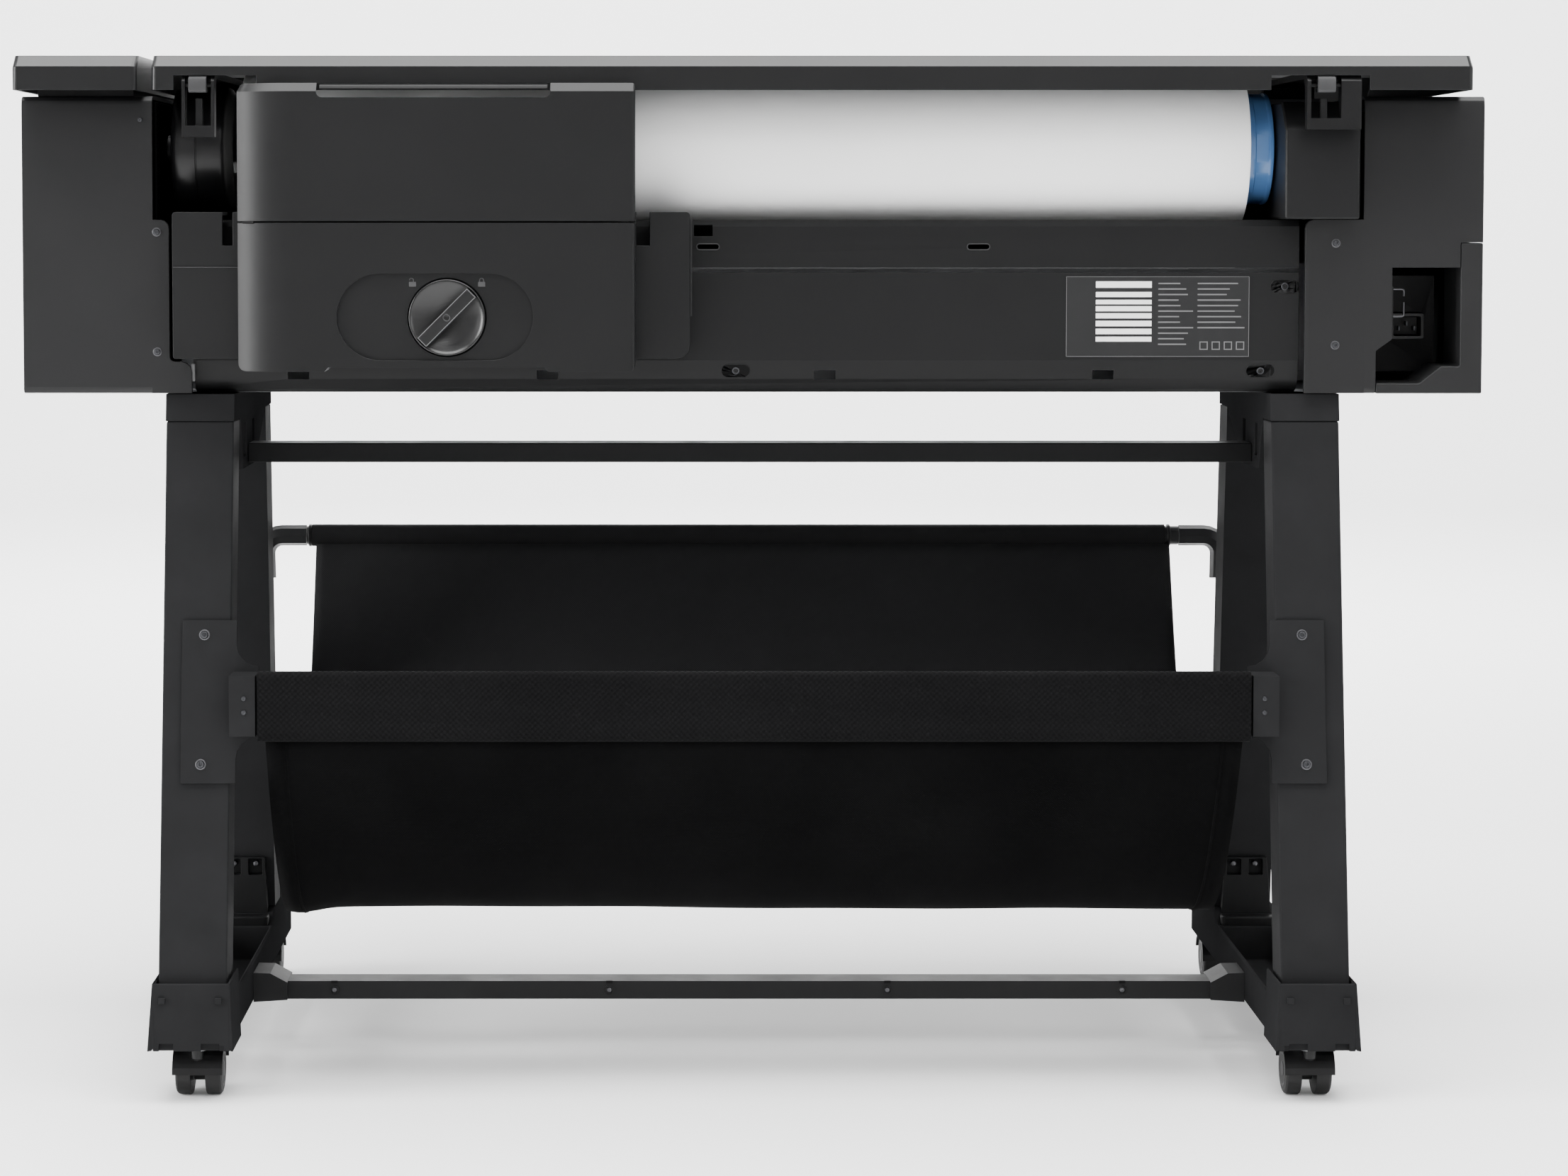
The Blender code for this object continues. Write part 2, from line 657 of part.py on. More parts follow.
def build_rear_panels():
    half = 0.00125
    face = PANEL_Y + half
    trough = circle(ROLL_AXIS, 0.0795, 9, math.radians(-122), math.radians(107))
    path = [(face, 0.7425), (face, 0.7800), (face + 0.0042, 0.7848), (-0.187, 0.7848), *trough]
    upper = prism("rear_panel_upper", "YZ", band(path, 2 * half), -0.525, 0.494)
    cutters = [slot_cutter(f"vent_{i}", x, 0.7617, 0.020, 0.005) for i, x in enumerate([-0.0404, 0.2041])]
    cutters.append(box("wire_hole", (-0.0530, -0.0363), (-0.23, -0.2065), (0.7713, 0.7815)))
    as_part(cut(upper, *cutters), "body")

    path = [(face, 0.7386), (face, 0.659), (face + 0.004, 0.6425), (face + 0.012, 0.6335), (-0.188, 0.6305)]
    lower = prism("rear_panel_lower", "YZ", band(path, 2 * half), -0.506, 0.494)
    centres = [-0.4114, -0.1857, 0.0656, 0.3176]
    cutters = [box(f"drain_{i}", (x - 0.0095, x + 0.0095), (-0.23, -0.19), (0.6417, 0.6497))
               for i, x in enumerate(centres)]
    as_part(cut(lower, *cutters), "body")


def build_front_cover():
    """The front skin, with the ramp that the printed sheet slides out over."""
    path = [(0.158, 0.7995), (0.268, 0.8060), (0.288, 0.8040), (0.2985, 0.7960), (0.3010, 0.7850),
            (0.3010, 0.700), (0.2640, 0.6420), (0.2610, 0.6310)]
    as_part(prism("front_cover", "YZ", band(path, 0.0028), *INNER_X), "body")


def build_chassis():
    plate = [(-0.205, 0.635), (-0.205, 0.892), (0.143, 0.892), (0.233, 0.836), (0.278, 0.800),
             (0.278, 0.692), (0.248, 0.635)]
    for side, x in ((-1, (-0.5405, -0.5385)), (1, (0.5480, 0.5500))):
        as_part(prism(side_name("side_plate", side), "YZ", plate, *x), "steel")
    tray = box("bottom_tray", INNER_X, (-0.184, 0.255), (BODY_BOTTOM, BODY_BOTTOM + 0.003))
    as_part(tray, "steel_black")
    beam = channel_bar("main_beam", INNER_X, (-0.060, 0.060), (0.6335, 0.745), 0.0025)
    as_part(beam, "steel")
    rail_beam = channel_bar("carriage_beam", INNER_X, (-0.052, -0.012), (0.868, 0.9005), 0.0025)
    rail = cylinder("rail", (INNER_X[0], *RAIL_AXIS), (INNER_X[1], *RAIL_AXIS), 0.006, sides=16)
    webs = [box(f"web_{i}", (x, x + 0.004), (-0.050, RAIL_AXIS[0]), (0.8605, 0.8735))
            for i, x in enumerate([INNER_X[0], INNER_X[1] - 0.004])]
    as_part(join(rail_beam, rail, *webs), "steel")
    as_part(box("platen", (-0.536, 0.4535), (0.052, 0.154), (0.790, 0.8005)), "plastic_black")
    roller = cylinder("feed_roller", (INNER_X[0], *ROLLER_AXIS), (INNER_X[1], *ROLLER_AXIS), 0.0115)
    as_part(roller, "rubber", (0.0, *ROLLER_AXIS))
    carriage_outline = [
        (0.006, 0.848), (0.006, 0.877), (0.035, 0.892), (0.118, 0.892), (0.122, 0.830),
        (0.112, 0.8035), (0.060, 0.8035), (0.050, 0.842)]
    carriage = prism("carriage", "YZ", carriage_outline, *CARRIAGE_X)
    bore = cylinder("bore", (0.45, *RAIL_AXIS), (0.55, *RAIL_AXIS), 0.0066, sides=16)
    as_part(cut(carriage, bore), "plastic_black", (0.5, *RAIL_AXIS))
    station = box("service_station", (0.4545, 0.5455), (0.052, 0.154), (0.755, 0.8005))
    tub = box("tub", (0.4585, 0.5415), (0.058, 0.148), (0.780, 0.81))
    as_part(cut(station, tub), "plastic_black")


def build_electronics():
    supply = box("power_supply", (0.556, 0.634), (-0.130, 0.020), (0.645, 0.735))
    inlet = box("inlet", (0.590, 0.621), (-0.146, -0.128), (0.676, 0.700))
    socket = box("socket", (0.5935, 0.6175), (-0.15, -0.134), (0.6795, 0.6965))
    as_part(cut(join(supply, inlet), socket), "steel_black")
    rack = box("ink_supply_rack", (0.556, 0.652), (0.080, 0.285), (0.700, 0.7065))
    cells = [box(f"cell_{i}", (0.5585 + 0.0235 * i, 0.5800 + 0.0235 * i), (0.090, 0.280), (0.7060, 0.780))
             for i in range(4)]
    as_part(join(rack, *cells), "ink")
    door = box("ink_door", INK_DOOR_X, (0.2998, 0.3023), INK_DOOR_Z)
    as_part(bevel(door, 0.0006), "body", (0.0, *INK_DOOR_AXIS))


# ---------------------------------------------------------------- lid and control panel

LID_OUTLINE = [
    (-0.262, 0.901), (0.148, 0.901), (0.243, 0.845), (0.288, 0.842), (0.288, 0.850),
    SLOPE_END, SLOPE_START, (-0.250, TOP_Z), (-0.262, 0.922)]
LID_INSIDE = [
    (-0.259, 0.890), (-0.259, 0.9207), (-0.2488, 0.929), (0.1641, 0.929), (0.2602, 0.8695),
    (0.285, 0.8487), (0.285, 0.830), (0.200, 0.830)]


def build_lid():
    lid = prism("top_lid", "YZ", LID_OUTLINE, *LID_X)
    inside = prism("lid_inside", "YZ", LID_INSIDE, LID_X[0] + LID_WALL, LID_X[1] - LID_WALL)
    notches = [box(f"notch_{i}", x, (-0.27, -0.2565), (0.895, 0.914))
               for i, x in enumerate([(-0.515, -0.442), (0.4585, 0.546)])]
    cut(lid, inside, *notches)
    y, z = LID_AXIS
    for index, x in enumerate([(-0.501, -0.486), (0.500, 0.5147)]):
        hook_outline = [(-0.2612, 0.8990), (-0.2500, 0.8990), (-0.2500, 0.9305), (-0.2612, 0.9215)]
        hook = prism(f"hook_{index}", "YZ", hook_outline, *x)
        join(lid, hook)
        cut(lid, cylinder(f"hook_bore_{index}", (x[0] - 0.01, y, z), (x[1] + 0.01, y, z), 0.0024, sides=12))
    as_part(lid, "lid", (0.0, *LID_AXIS))


def build_hinge(side, x, window, low):
    """A strap from the carriage beam to the back, ending in a fork with the lid's pin."""
    name = side_name("lid_hinge", side)
    outline = [
        (-0.2618, low), (-0.2618, 0.9090), (-0.2550, 0.9172), (-0.020, 0.9172), (-0.020, 0.9008),
        (-0.034, 0.9008), (-0.036, 0.9113), (-0.243, 0.9113), (-0.247, 0.905), (-0.2505, low)]
    strap = prism(name, "YZ", outline, *x)
    gap = box(name + "_window", window, (-0.28, -0.238), (low + 0.010, 0.93))
    y, z = LID_AXIS
    pin = cylinder(name + "_pin", (x[0] + 0.001, y, z), (x[1] - 0.001, y, z), 0.0020, sides=12)
    as_part(join(cut(strap, gap), pin), "plastic_black")


def build_control_panel():
    housing = prism("control_housing", "YZ", LID_OUTLINE, *CONTROL_X)
    inside = prism("housing_inside", "YZ", LID_INSIDE, CONTROL_X[0] + LID_WALL, CONTROL_X[1] - LID_WALL)
    foot = box("foot", (CONTROL_X[0] + 0.012, CONTROL_X[1] - 0.012), (-0.20, 0.12), (0.8973, 0.931))
    slope = math.atan2(SLOPE_START[1] - SLOPE_END[1], SLOPE_END[0] - SLOPE_START[0])
    middle = [(a + b) / 2 for a, b in zip(SLOPE_START, SLOPE_END)]
    centre_x = sum(CONTROL_X) / 2
    button_y = 0.140

    def on_slope(name, half_x, half_y, low, high):
        """A box lying on the slope, from low to high above its surface."""
        obj = box(name, (-half_x, half_x), (-half_y, half_y), (low, high))
        obj.rotation_euler = (-slope, 0.0, 0.0)
        obj.location = (centre_x, *middle)
        return baked(obj)

    well = cylinder("well", (centre_x, button_y, 0.88), (centre_x, button_y, 0.94), 0.0066)
    cut(housing, inside)
    join(housing, foot)
    cut(housing, on_slope("recess", 0.0463, 0.0383, -0.0015, 0.01), well)
    as_part(housing, "lid")
    as_part(bevel(on_slope("display_panel", 0.0460, 0.0380, -0.0012, 0.0006), 0.0003), "glass")
    button = cylinder("power_button", (centre_x, button_y, 0.916), (centre_x, button_y, 0.9319), 0.0062)
    as_part(button, "plastic_black", (centre_x, button_y, 0.9319))


# ---------------------------------------------------------------- roll

def build_roll():
    roll = turned_on_x("paper_roll", [
        (ROLL_RADIUS, ROLL_X[1]), (ROLL_RADIUS, ROLL_X[0]), (CORE_RADIUS, ROLL_X[0]),
        (CORE_RADIUS, ROLL_X[1]), (ROLL_RADIUS, ROLL_X[1])], ROLL_AXIS, steps=48)
    as_part(roll, "paper", (0.0, *ROLL_AXIS))
    bore = SHAFT_RADIUS + GAP
    hub = turned_on_x("spindle_hub", [
        (bore, 0.4746), (0.049, 0.4746), (0.0515, 0.4725), (0.0515, 0.4503), (CORE_RADIUS - GAP, 0.4503),
        (CORE_RADIUS - GAP, 0.425), (bore, 0.425), (bore, 0.4746)], ROLL_AXIS, steps=24)
    as_part(hub, "blue", (0.0, *ROLL_AXIS))
    drum = turned_on_x("spindle_drum", [
        (bore, -0.472), (0.050, -0.472), (0.0515, -0.4755), (0.0570, -0.480), (0.0585, -0.500),
        (0.0585, -0.515), (0.0570, -0.525), (0.0540, -0.5280), (bore, -0.5280), (bore, -0.472)],
        ROLL_AXIS, steps=36)
    as_part(drum, "plastic_black", (0.0, *ROLL_AXIS))
    shaft = cylinder("spindle_shaft", (-0.5376, *ROLL_AXIS), (0.5190, *ROLL_AXIS), SHAFT_RADIUS)
    as_part(shaft, "steel", (0.0, *ROLL_AXIS))
    outline = [(-0.240, 0.7866), (-0.240, 0.867), (-0.215, 0.892), (-0.115, 0.892), (-0.100, 0.875),
               (-0.100, 0.7866)]
    block = prism("spindle_block", "YZ", outline, 0.4757, 0.5426)
    seat = cylinder("seat", (0.46, *ROLL_AXIS), (0.5198, *ROLL_AXIS), SHAFT_RADIUS + 0.0006)
    as_part(cut(bevel(block, 0.0015), seat), "body")


# ---------------------------------------------------------------- sheet feeder

def build_feeder_housing():
    outline = rounded([(-0.519, 0.662), (-0.057, 0.662), (-0.057, 0.793), (-0.519, 0.793)],
                      [0.002, 0.012, 0.003, 0.003], steps=3)
    housing = prism("feeder_housing", "XZ", outline, -0.2500, -0.2116)
    inside = box("housing_hollow", (-0.516, -0.060), (-0.247, -0.20), (0.665, 0.790))
    slots = [box(f"guide_slot_{i}", x, (-0.26, -0.20), (0.763, 0.80))
             for i, x in enumerate([(-0.474, -0.465), (-0.105, -0.093)])]
    as_part(cut(housing, inside, *slots), "body")


def build_feeder_body():
    low, high = 0.652, 0.7837
    outline = [
        (FEEDER_X[0], low), (-0.380, low), (-0.3765, 0.656), (-0.186, 0.656), (-0.1825, low),
        (FEEDER_X[1], low), (FEEDER_X[1], high), (FEEDER_X[0], high)]
    radii = [0.006, 0, 0, 0, 0, 0.006, 0, 0]
    body = bevel(prism("feeder_body", "XZ", rounded(outline, radii), *FEEDER_Y), 0.0015)
    x, z = -0.28205, 0.7005
    reach, radius = 0.0481, 0.0385
    stadium = (circle((x + reach, z), radius, 12, -math.pi / 2, math.pi)
               + circle((x - reach, z), radius, 12, math.pi / 2, math.pi))
    recess = prism("recess", "XZ", stadium, -0.31, FEEDER_Y[0] + 0.003)
    knob_x, knob_z = KNOB_CENTRE
    well = cylinder("knob_well", (knob_x, -0.31, knob_z), (knob_x, -0.276, knob_z), KNOB_RADIUS + GAP, sides=40)
    as_part(cut(body, recess, well), "body")


def build_feeder_flap():
    rear, front = FEEDER_Y[0], -0.270
    top = 0.9065
    outline = [
        (front, 0.7845), (front, top), (rear + 0.006, top), (rear, 0.9005),
        *circle(FLAP_AXIS, FLAP_ROUND, 4, math.pi, math.pi / 2)]
    flap = prism("feeder_flap", "YZ", outline, *FEEDER_X)
    notch_outline = rounded([(-0.386, 0.8936), (-0.180, 0.8936), (-0.180, 0.92), (-0.386, 0.92)],
                            [0.005, 0.005, 0, 0], steps=3)
    notch = prism("handle_notch", "XZ", notch_outline, -0.31, -0.279)
    as_part(cut(flap, notch), "body", (0.0, *FLAP_AXIS))


def build_lock_knob():
    x, z = KNOB_CENTRE
    face = -0.2905
    knob = cylinder("lock_knob", (x, face, z), (x, -0.2763, z), KNOB_RADIUS, sides=40)
    dish = cylinder("dish", (x, face - 0.001, z), (x, face + 0.0045, z), 0.0315, sides=40, end_radius=0.0295)
    grip = box("grip", (-0.0315, 0.0315), (-0.0045, 0.0050), (-0.00585, 0.00585))
    grip.rotation_euler = (0.0, -math.pi / 4, 0.0)
    grip.location = (x, face + 0.0005, z)
    grip = bevel(baked(grip), 0.0008)
    hole = cylinder("centre_hole", (x, face - 0.01, z), (x, face + 0.002, z), 0.003, sides=12)
    as_part(cut(join(cut(knob, dish), grip), hole), "plastic_black", (x, face, z))


def build_all():
    build_stand()
    build_casters()
    build_bin()
    for side in (-1, 1):
        build_end_cover(side)
    build_corner_cover()
    build_rear_panels()
    build_front_cover()
    build_chassis()
    build_electronics()
    build_lid()
    build_hinge(-1, (-0.508, -0.479), (-0.505, -0.482), 0.8595)
    build_hinge(1, (0.4906, 0.5387), (0.494, 0.5207), 0.866)
    build_control_panel()
    build_roll()
    build_feeder_housing()
    build_feeder_body()
    build_feeder_flap()
    build_lock_knob()


build_all()
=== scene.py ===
"""The looks of the large format plotter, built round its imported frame. Metres, +Z up.

The rear of the machine, with the roll and the sheet feeder, faces -Y.
"""
import json
import math

import bmesh
import bpy
import numpy as np
from mathutils import Matrix, Vector
from mathutils.bvhtree import BVHTree


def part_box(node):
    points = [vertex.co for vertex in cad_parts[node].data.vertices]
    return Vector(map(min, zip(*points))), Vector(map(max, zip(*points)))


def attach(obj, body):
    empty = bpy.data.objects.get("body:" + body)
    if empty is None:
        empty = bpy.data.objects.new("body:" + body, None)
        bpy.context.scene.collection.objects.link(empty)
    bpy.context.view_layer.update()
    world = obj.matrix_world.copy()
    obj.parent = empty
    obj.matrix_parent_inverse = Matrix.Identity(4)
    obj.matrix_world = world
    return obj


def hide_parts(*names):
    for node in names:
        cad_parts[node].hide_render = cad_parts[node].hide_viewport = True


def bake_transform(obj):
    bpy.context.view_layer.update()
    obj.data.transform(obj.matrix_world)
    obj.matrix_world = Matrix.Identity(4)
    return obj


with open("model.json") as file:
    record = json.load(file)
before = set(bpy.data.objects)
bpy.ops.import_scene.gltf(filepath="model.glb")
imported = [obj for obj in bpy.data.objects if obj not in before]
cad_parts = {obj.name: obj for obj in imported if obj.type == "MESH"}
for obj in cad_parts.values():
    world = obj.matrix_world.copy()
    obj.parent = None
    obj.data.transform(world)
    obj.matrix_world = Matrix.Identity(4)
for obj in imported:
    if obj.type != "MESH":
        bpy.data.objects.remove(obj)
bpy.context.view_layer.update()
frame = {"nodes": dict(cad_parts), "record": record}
RECORD = frame["record"]
BODY_OF = {node: body for body, nodes in RECORD["behaviour"]["bodies"].items() for node in nodes}
BOX = {node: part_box(node) for node in BODY_OF}
MIDDLE = {node: (low + high) / 2 for node, (low, high) in BOX.items()}
SIDES = ((-1, "left"), (1, "right"))
KNOB_PLACE = Vector((-0.2716, -0.2905, 0.700))


# ---------------------------------------------------------------- materials

def shader_of(material):
    return material.node_tree.nodes["Principled BSDF"]


def new_material(name, colour, roughness, metallic=0.0, specular=0.5):
    material = bpy.data.materials.new(name)
    material.use_nodes = True
    shader = shader_of(material)
    shader.inputs["Base Color"].default_value = (*colour, 1.0)
    shader.inputs["Roughness"].default_value = roughness
    shader.inputs["Metallic"].default_value = metallic
    shader.inputs["Specular IOR Level"].default_value = specular
    return material


def add_node(material, kind, operation=None, **inputs):
    """A new shader node with some of its inputs set. Names use _ for a space."""
    node = material.node_tree.nodes.new(kind)
    if operation:
        node.operation = operation
    for key, value in inputs.items():
        node.inputs[key.replace("_", " ")].default_value = value
    return node


def wire(material, *ends):
    """Join pairs of (node, output) and (node, input)."""
    for (from_node, output), (to_node, socket) in ends:
        material.node_tree.links.new(from_node.outputs[output], to_node.inputs[socket])


def dress(material, bump, tint, gloss=None):
    """Join a bump to the shader, and a tint and a gloss that are each (source, output, ramp)."""
    shader = shader_of(material)
    wire(material, ((bump, "Normal"), (shader, "Normal")))
    for use, socket in ((tint, "Base Color"), (gloss, "Roughness")):
        if use:
            source, output, node = use
            wire(material, ((source, output), (node, "Fac")), ((node, "Color"), (shader, socket)))


def object_position(material):
    """The point in the frame that the pattern is read at."""
    return add_node(material, "ShaderNodeTexCoord"), "Object"


def ramp(material, low, high, low_at=0.3, high_at=0.7):
    """A ramp between two greys or two colours, over a part of its input's range."""
    node = add_node(material, "ShaderNodeValToRGB")
    first, last = node.color_ramp.elements
    first.position, last.position = low_at, high_at
    first.color = (*low, 1.0) if isinstance(low, tuple) else (low, low, low, 1.0)
    last.color = (*high, 1.0) if isinstance(high, tuple) else (high, high, high, 1.0)
    return node


def shades(material, colour, darker, lighter=1.0, low_at=0.3, high_at=0.7):
    """A ramp from a darker to a lighter shade of one colour."""
    dark, light = (tuple(c * share for c in colour) for share in (darker, lighter))
    return ramp(material, dark, light, low_at, high_at)


def noise(material, scale, detail=4.0, roughness=0.5, stretch=None):
    """A noise texture read in the frame's own space, stretched along an axis if asked."""
    place = object_position(material)
    node = add_node(material, "ShaderNodeTexNoise", Scale=scale, Detail=detail, Roughness=roughness)
    if stretch is None:
        wire(material, (place, (node, "Vector")))
    else:
        mapping = add_node(material, "ShaderNodeMapping", Scale=stretch)
        wire(material, (place, (mapping, "Vector")), ((mapping, "Vector"), (node, "Vector")))
    return node


def bumped(material, height_end, strength, distance, below=None):
    bump = add_node(material, "ShaderNodeBump", Strength=strength, Distance=distance)
    wire(material, (height_end, (bump, "Height")))
    if below is not None:
        wire(material, ((below, "Normal"), (bump, "Normal")))
    return bump


def moulded(name, colour, roughness, grain=1.0, specular=0.5):
    """Moulded ABS: spark-eroded grain, faint mottling and a little wear in the gloss."""
    material = new_material(name, colour, roughness, specular=specular)
    grain_noise = noise(material, 2600.0, 2.0)
    mottle = noise(material, 9.0, 5.0, 0.6)
    tint = shades(material, colour, 0.92, 1.09)
    gloss = ramp(material, roughness - 0.02, roughness + 0.025)
    bump = bumped(material, (grain_noise, "Fac"), 0.22 * grain, 0.00012)
    dress(material, bump, (mottle, "Fac", tint), (mottle, "Fac", gloss))
    return material


def powder_coat(name, colour, roughness, specular=0.07):
    """Powder-coated steel: orange peel over a fine grain, with slightly polished patches."""
    material = new_material(name, colour, roughness, specular=specular)
    peel = noise(material, 420.0, 3.0)
    fine = noise(material, 2200.0, 2.0)
    wear = noise(material, 14.0, 6.0, 0.65)
    gloss = ramp(material, roughness - 0.07, roughness + 0.07, 0.35, 0.65)
    tint = shades(material, colour, 0.88, 1.14)
    first = bumped(material, (peel, "Fac"), 0.18, 0.0003)
    second = bumped(material, (fine, "Fac"), 0.16, 0.0001, below=first)
    dress(material, second, (wear, "Fac", tint), (wear, "Fac", gloss))
    return material


def plated_steel(name, colour, roughness, stretch):
    """Zinc-plated sheet or ground rod: drawn lines along one axis and cloudy plating."""
    material = new_material(name, colour, roughness, metallic=1.0)
    lines = noise(material, 60.0, 5.0, 0.7, stretch)
    cloud = noise(material, 18.0, 4.0, 0.6)
    gloss = ramp(material, roughness - 0.08, roughness + 0.12)
    tint = shades(material, colour, 0.8)
    bump = bumped(material, (lines, "Fac"), 0.10, 0.0002)
    dress(material, bump, (cloud, "Fac", tint), (lines, "Fac", gloss))
    return material


def woven(name, colour, thread, roughness, relief):
    """Plain weave. UV metres run along the cloth, and thread is the spacing of its threads."""
    material = new_material(name, colour, roughness, specular=0.05)
    shader = shader_of(material)
    shader.inputs["Sheen Weight"].default_value = 0.006
    shader.inputs["Sheen Roughness"].default_value = 0.5
    place = add_node(material, "ShaderNodeUVMap")
    split = add_node(material, "ShaderNodeSeparateXYZ")
    product = add_node(material, "ShaderNodeMath", "MULTIPLY")
    wire(material, ((place, "UV"), (split, "Vector")))
    for i, axis in enumerate(("X", "Y")):
        scaled = add_node(material, "ShaderNodeMath", "MULTIPLY")
        scaled.inputs[1].default_value = math.pi / thread
        wave = add_node(material, "ShaderNodeMath", "SINE")
        wire(material, ((split, axis), (scaled, 0)), ((scaled, "Value"), (wave, 0)),
             ((wave, "Value"), (product, i)))
    weave = add_node(material, "ShaderNodeMath", "MULTIPLY_ADD")
    weave.inputs[1].default_value = 0.5
    weave.inputs[2].default_value = 0.5
    wire(material, ((product, "Value"), (weave, 0)))
    slub = noise(material, 120.0, 5.0, 0.7)
    cloud = noise(material, 7.0, 4.0, 0.6)
    tint = shades(material, colour, 0.55, 1.5, 0.0, 1.0)
    gloss = ramp(material, roughness - 0.1, roughness + 0.08)
    first = bumped(material, (weave, "Value"), relief, thread * 0.25)
    second = bumped(material, (slub, "Fac"), 0.25, 0.0004, below=first)
    dress(material, second, (weave, "Value", tint), (cloud, "Fac", gloss))
    return material


def paper_material(name, colour):
    """Matt coated paper: very fine tooth and a faint cockle."""
    material = new_material(name, colour, 0.72, specular=0.3)
    tooth = noise(material, 1500.0, 3.0)
    cockle = noise(material, 5.0, 3.0, 0.5, (1.0, 3.0, 3.0))
    tint = shades(material, colour, 0.965)
    first = bumped(material, (tooth, "Fac"), 0.12, 0.0001)
    second = bumped(material, (cockle, "Fac"), 0.15, 0.004, below=first)
    dress(material, second, (cockle, "Fac", tint))
    return material


def rings_round(material, centre, across, scale, detail):
    """Fine rings round an axis through a centre. across is 1 in the two directions across it."""
    place = object_position(material)
    centred = add_node(material, "ShaderNodeMapping", Location=-centre)
    flat = add_node(material, "ShaderNodeVectorMath", "MULTIPLY")
    flat.inputs[1].default_value = across
    length = add_node(material, "ShaderNodeVectorMath", "LENGTH")
    rings = add_node(material, "ShaderNodeTexNoise", Scale=scale, Detail=detail)
    rings.noise_dimensions = "1D"
    wire(material, (place, (centred, "Vector")), ((centred, "Vector"), (flat, 0)),
         ((flat, "Vector"), (length, 0)), ((length, "Value"), (rings, "W")))
    return rings


def paper_edge_material(name):
    """The end of a paper roll: fine rings of layers round the roll's axis."""
    material = new_material(name, (0.70, 0.70, 0.68), 0.85, specular=0.2)
    rings = rings_round(material, MIDDLE["paper_roll"], (0.0, 1.0, 1.0), 900.0, 3.0)
    tint = ramp(material, (0.50, 0.50, 0.48), (0.78, 0.78, 0.76))
    bump = bumped(material, (rings, "Fac"), 0.3, 0.0004)
    dress(material, bump, (rings, "Fac", tint))
    return material


def dial_material(name):
    """Dished dial: fine turned rings round the knob's axis, which fan the light out."""
    material = new_material(name, (0.0036, 0.0036, 0.0038), 0.27, specular=0.42)
    rings = rings_round(material, KNOB_PLACE, (1.0, 0.0, 1.0), 1500.0, 2.0)
    tint = ramp(material, (0.0027, 0.0027, 0.0029), (0.0048, 0.0048, 0.0050))
    bump = bumped(material, (rings, "Fac"), 0.25, 0.0002)
    dress(material, bump, (rings, "Fac", tint))
    tangent = add_node(material, "ShaderNodeTangent")
    tangent.axis = "Y"
    shader = shader_of(material)
    shader.inputs["Anisotropic"].default_value = 0.6
    wire(material, ((tangent, "Tangent"), (shader, "Tangent")))
    return material


BAY = moulded("bay_plastic", (0.0030, 0.0030, 0.0032), 0.70, specular=0.0)
BODY = moulded("body_plastic", (0.0062, 0.0063, 0.0066), 0.46, specular=0.15)
PANEL = moulded("panel_plastic", (0.0055, 0.0056, 0.0058), 0.50, specular=0.14)
# Grey of the covers, also used for part of the painted highlight along the panel seam.
COVER_AND_HIGHLIGHT = moulded("cover_and_highlight_plastic", (0.0086, 0.0087, 0.0090), 0.48, specular=0.18)
LID = moulded("lid_plastic", (0.0036, 0.0037, 0.0039), 0.35, specular=0.23)
FEEDER = moulded("feeder_plastic", (0.0050, 0.0051, 0.0053), 0.40, grain=0.8, specular=0.17)
BLACK = moulded("black_plastic", (0.0026, 0.0026, 0.0028), 0.42, specular=0.18)
GLOSS_BLACK = moulded("gloss_black_plastic", (0.0040, 0.0040, 0.0043), 0.30, grain=0.4, specular=0.28)
DIAL = dial_material("dial_plastic")
# Pale grey for the hinge clips and slot rims, and for painted highlights: strips along the rear seams and the
# ring round the knob grip's hole.
CLIP_AND_HIGHLIGHT = moulded("clip_and_painted_highlight_plastic", (0.026, 0.026, 0.027), 0.42, specular=0.25)
KNOB = moulded("knob_plastic", (0.0046, 0.0046, 0.0048), 0.30, grain=0.3, specular=0.30)
LEG = powder_coat("leg_paint", (0.0130, 0.0131, 0.0136), 0.62, 0.008)
FOOT = powder_coat("foot_paint", (0.0135, 0.0136, 0.0141), 0.62, 0.0)
ELBOW = powder_coat("elbow_paint", (0.0110, 0.0111, 0.0115), 0.40, 0.25)
LOWER_BAR = powder_coat("lower_bar_paint", (0.0130, 0.0131, 0.0134), 0.50)
BAR = powder_coat("bar_paint", (0.0068, 0.0069, 0.0071), 0.48)
RIM = plated_steel("screw_rim", (0.085, 0.085, 0.090), 0.40, (30.0, 30.0, 30.0))
ZINC = plated_steel("zinc_plate", (0.55, 0.56, 0.58), 0.34, (1.0, 40.0, 40.0))
ROD = plated_steel("ground_rod", (0.62, 0.63, 0.65), 0.18, (40.0, 4.0, 4.0))
DARK_STEEL = plated_steel("black_oxide", (0.055, 0.056, 0.060), 0.36, (30.0, 30.0, 30.0))
RUBBER = moulded("tread_rubber", (0.0045, 0.0045, 0.0045), 0.62, grain=1.6, specular=0.25)
CLOTH = woven("bin_cloth", (0.0005, 0.0005, 0.0006), 0.0011, 0.88, 0.5)
# A lighter cloth for the sling's inward faces: painted light falling into the sling.
LIT_INSIDE_CLOTH = woven("bin_inside_painted_light", (0.0120, 0.0121, 0.0125), 0.0011, 0.86, 0.5)
SLEEVE = woven("sleeve_cloth", (0.0026, 0.0026, 0.0028), 0.0026, 0.80, 0.8)
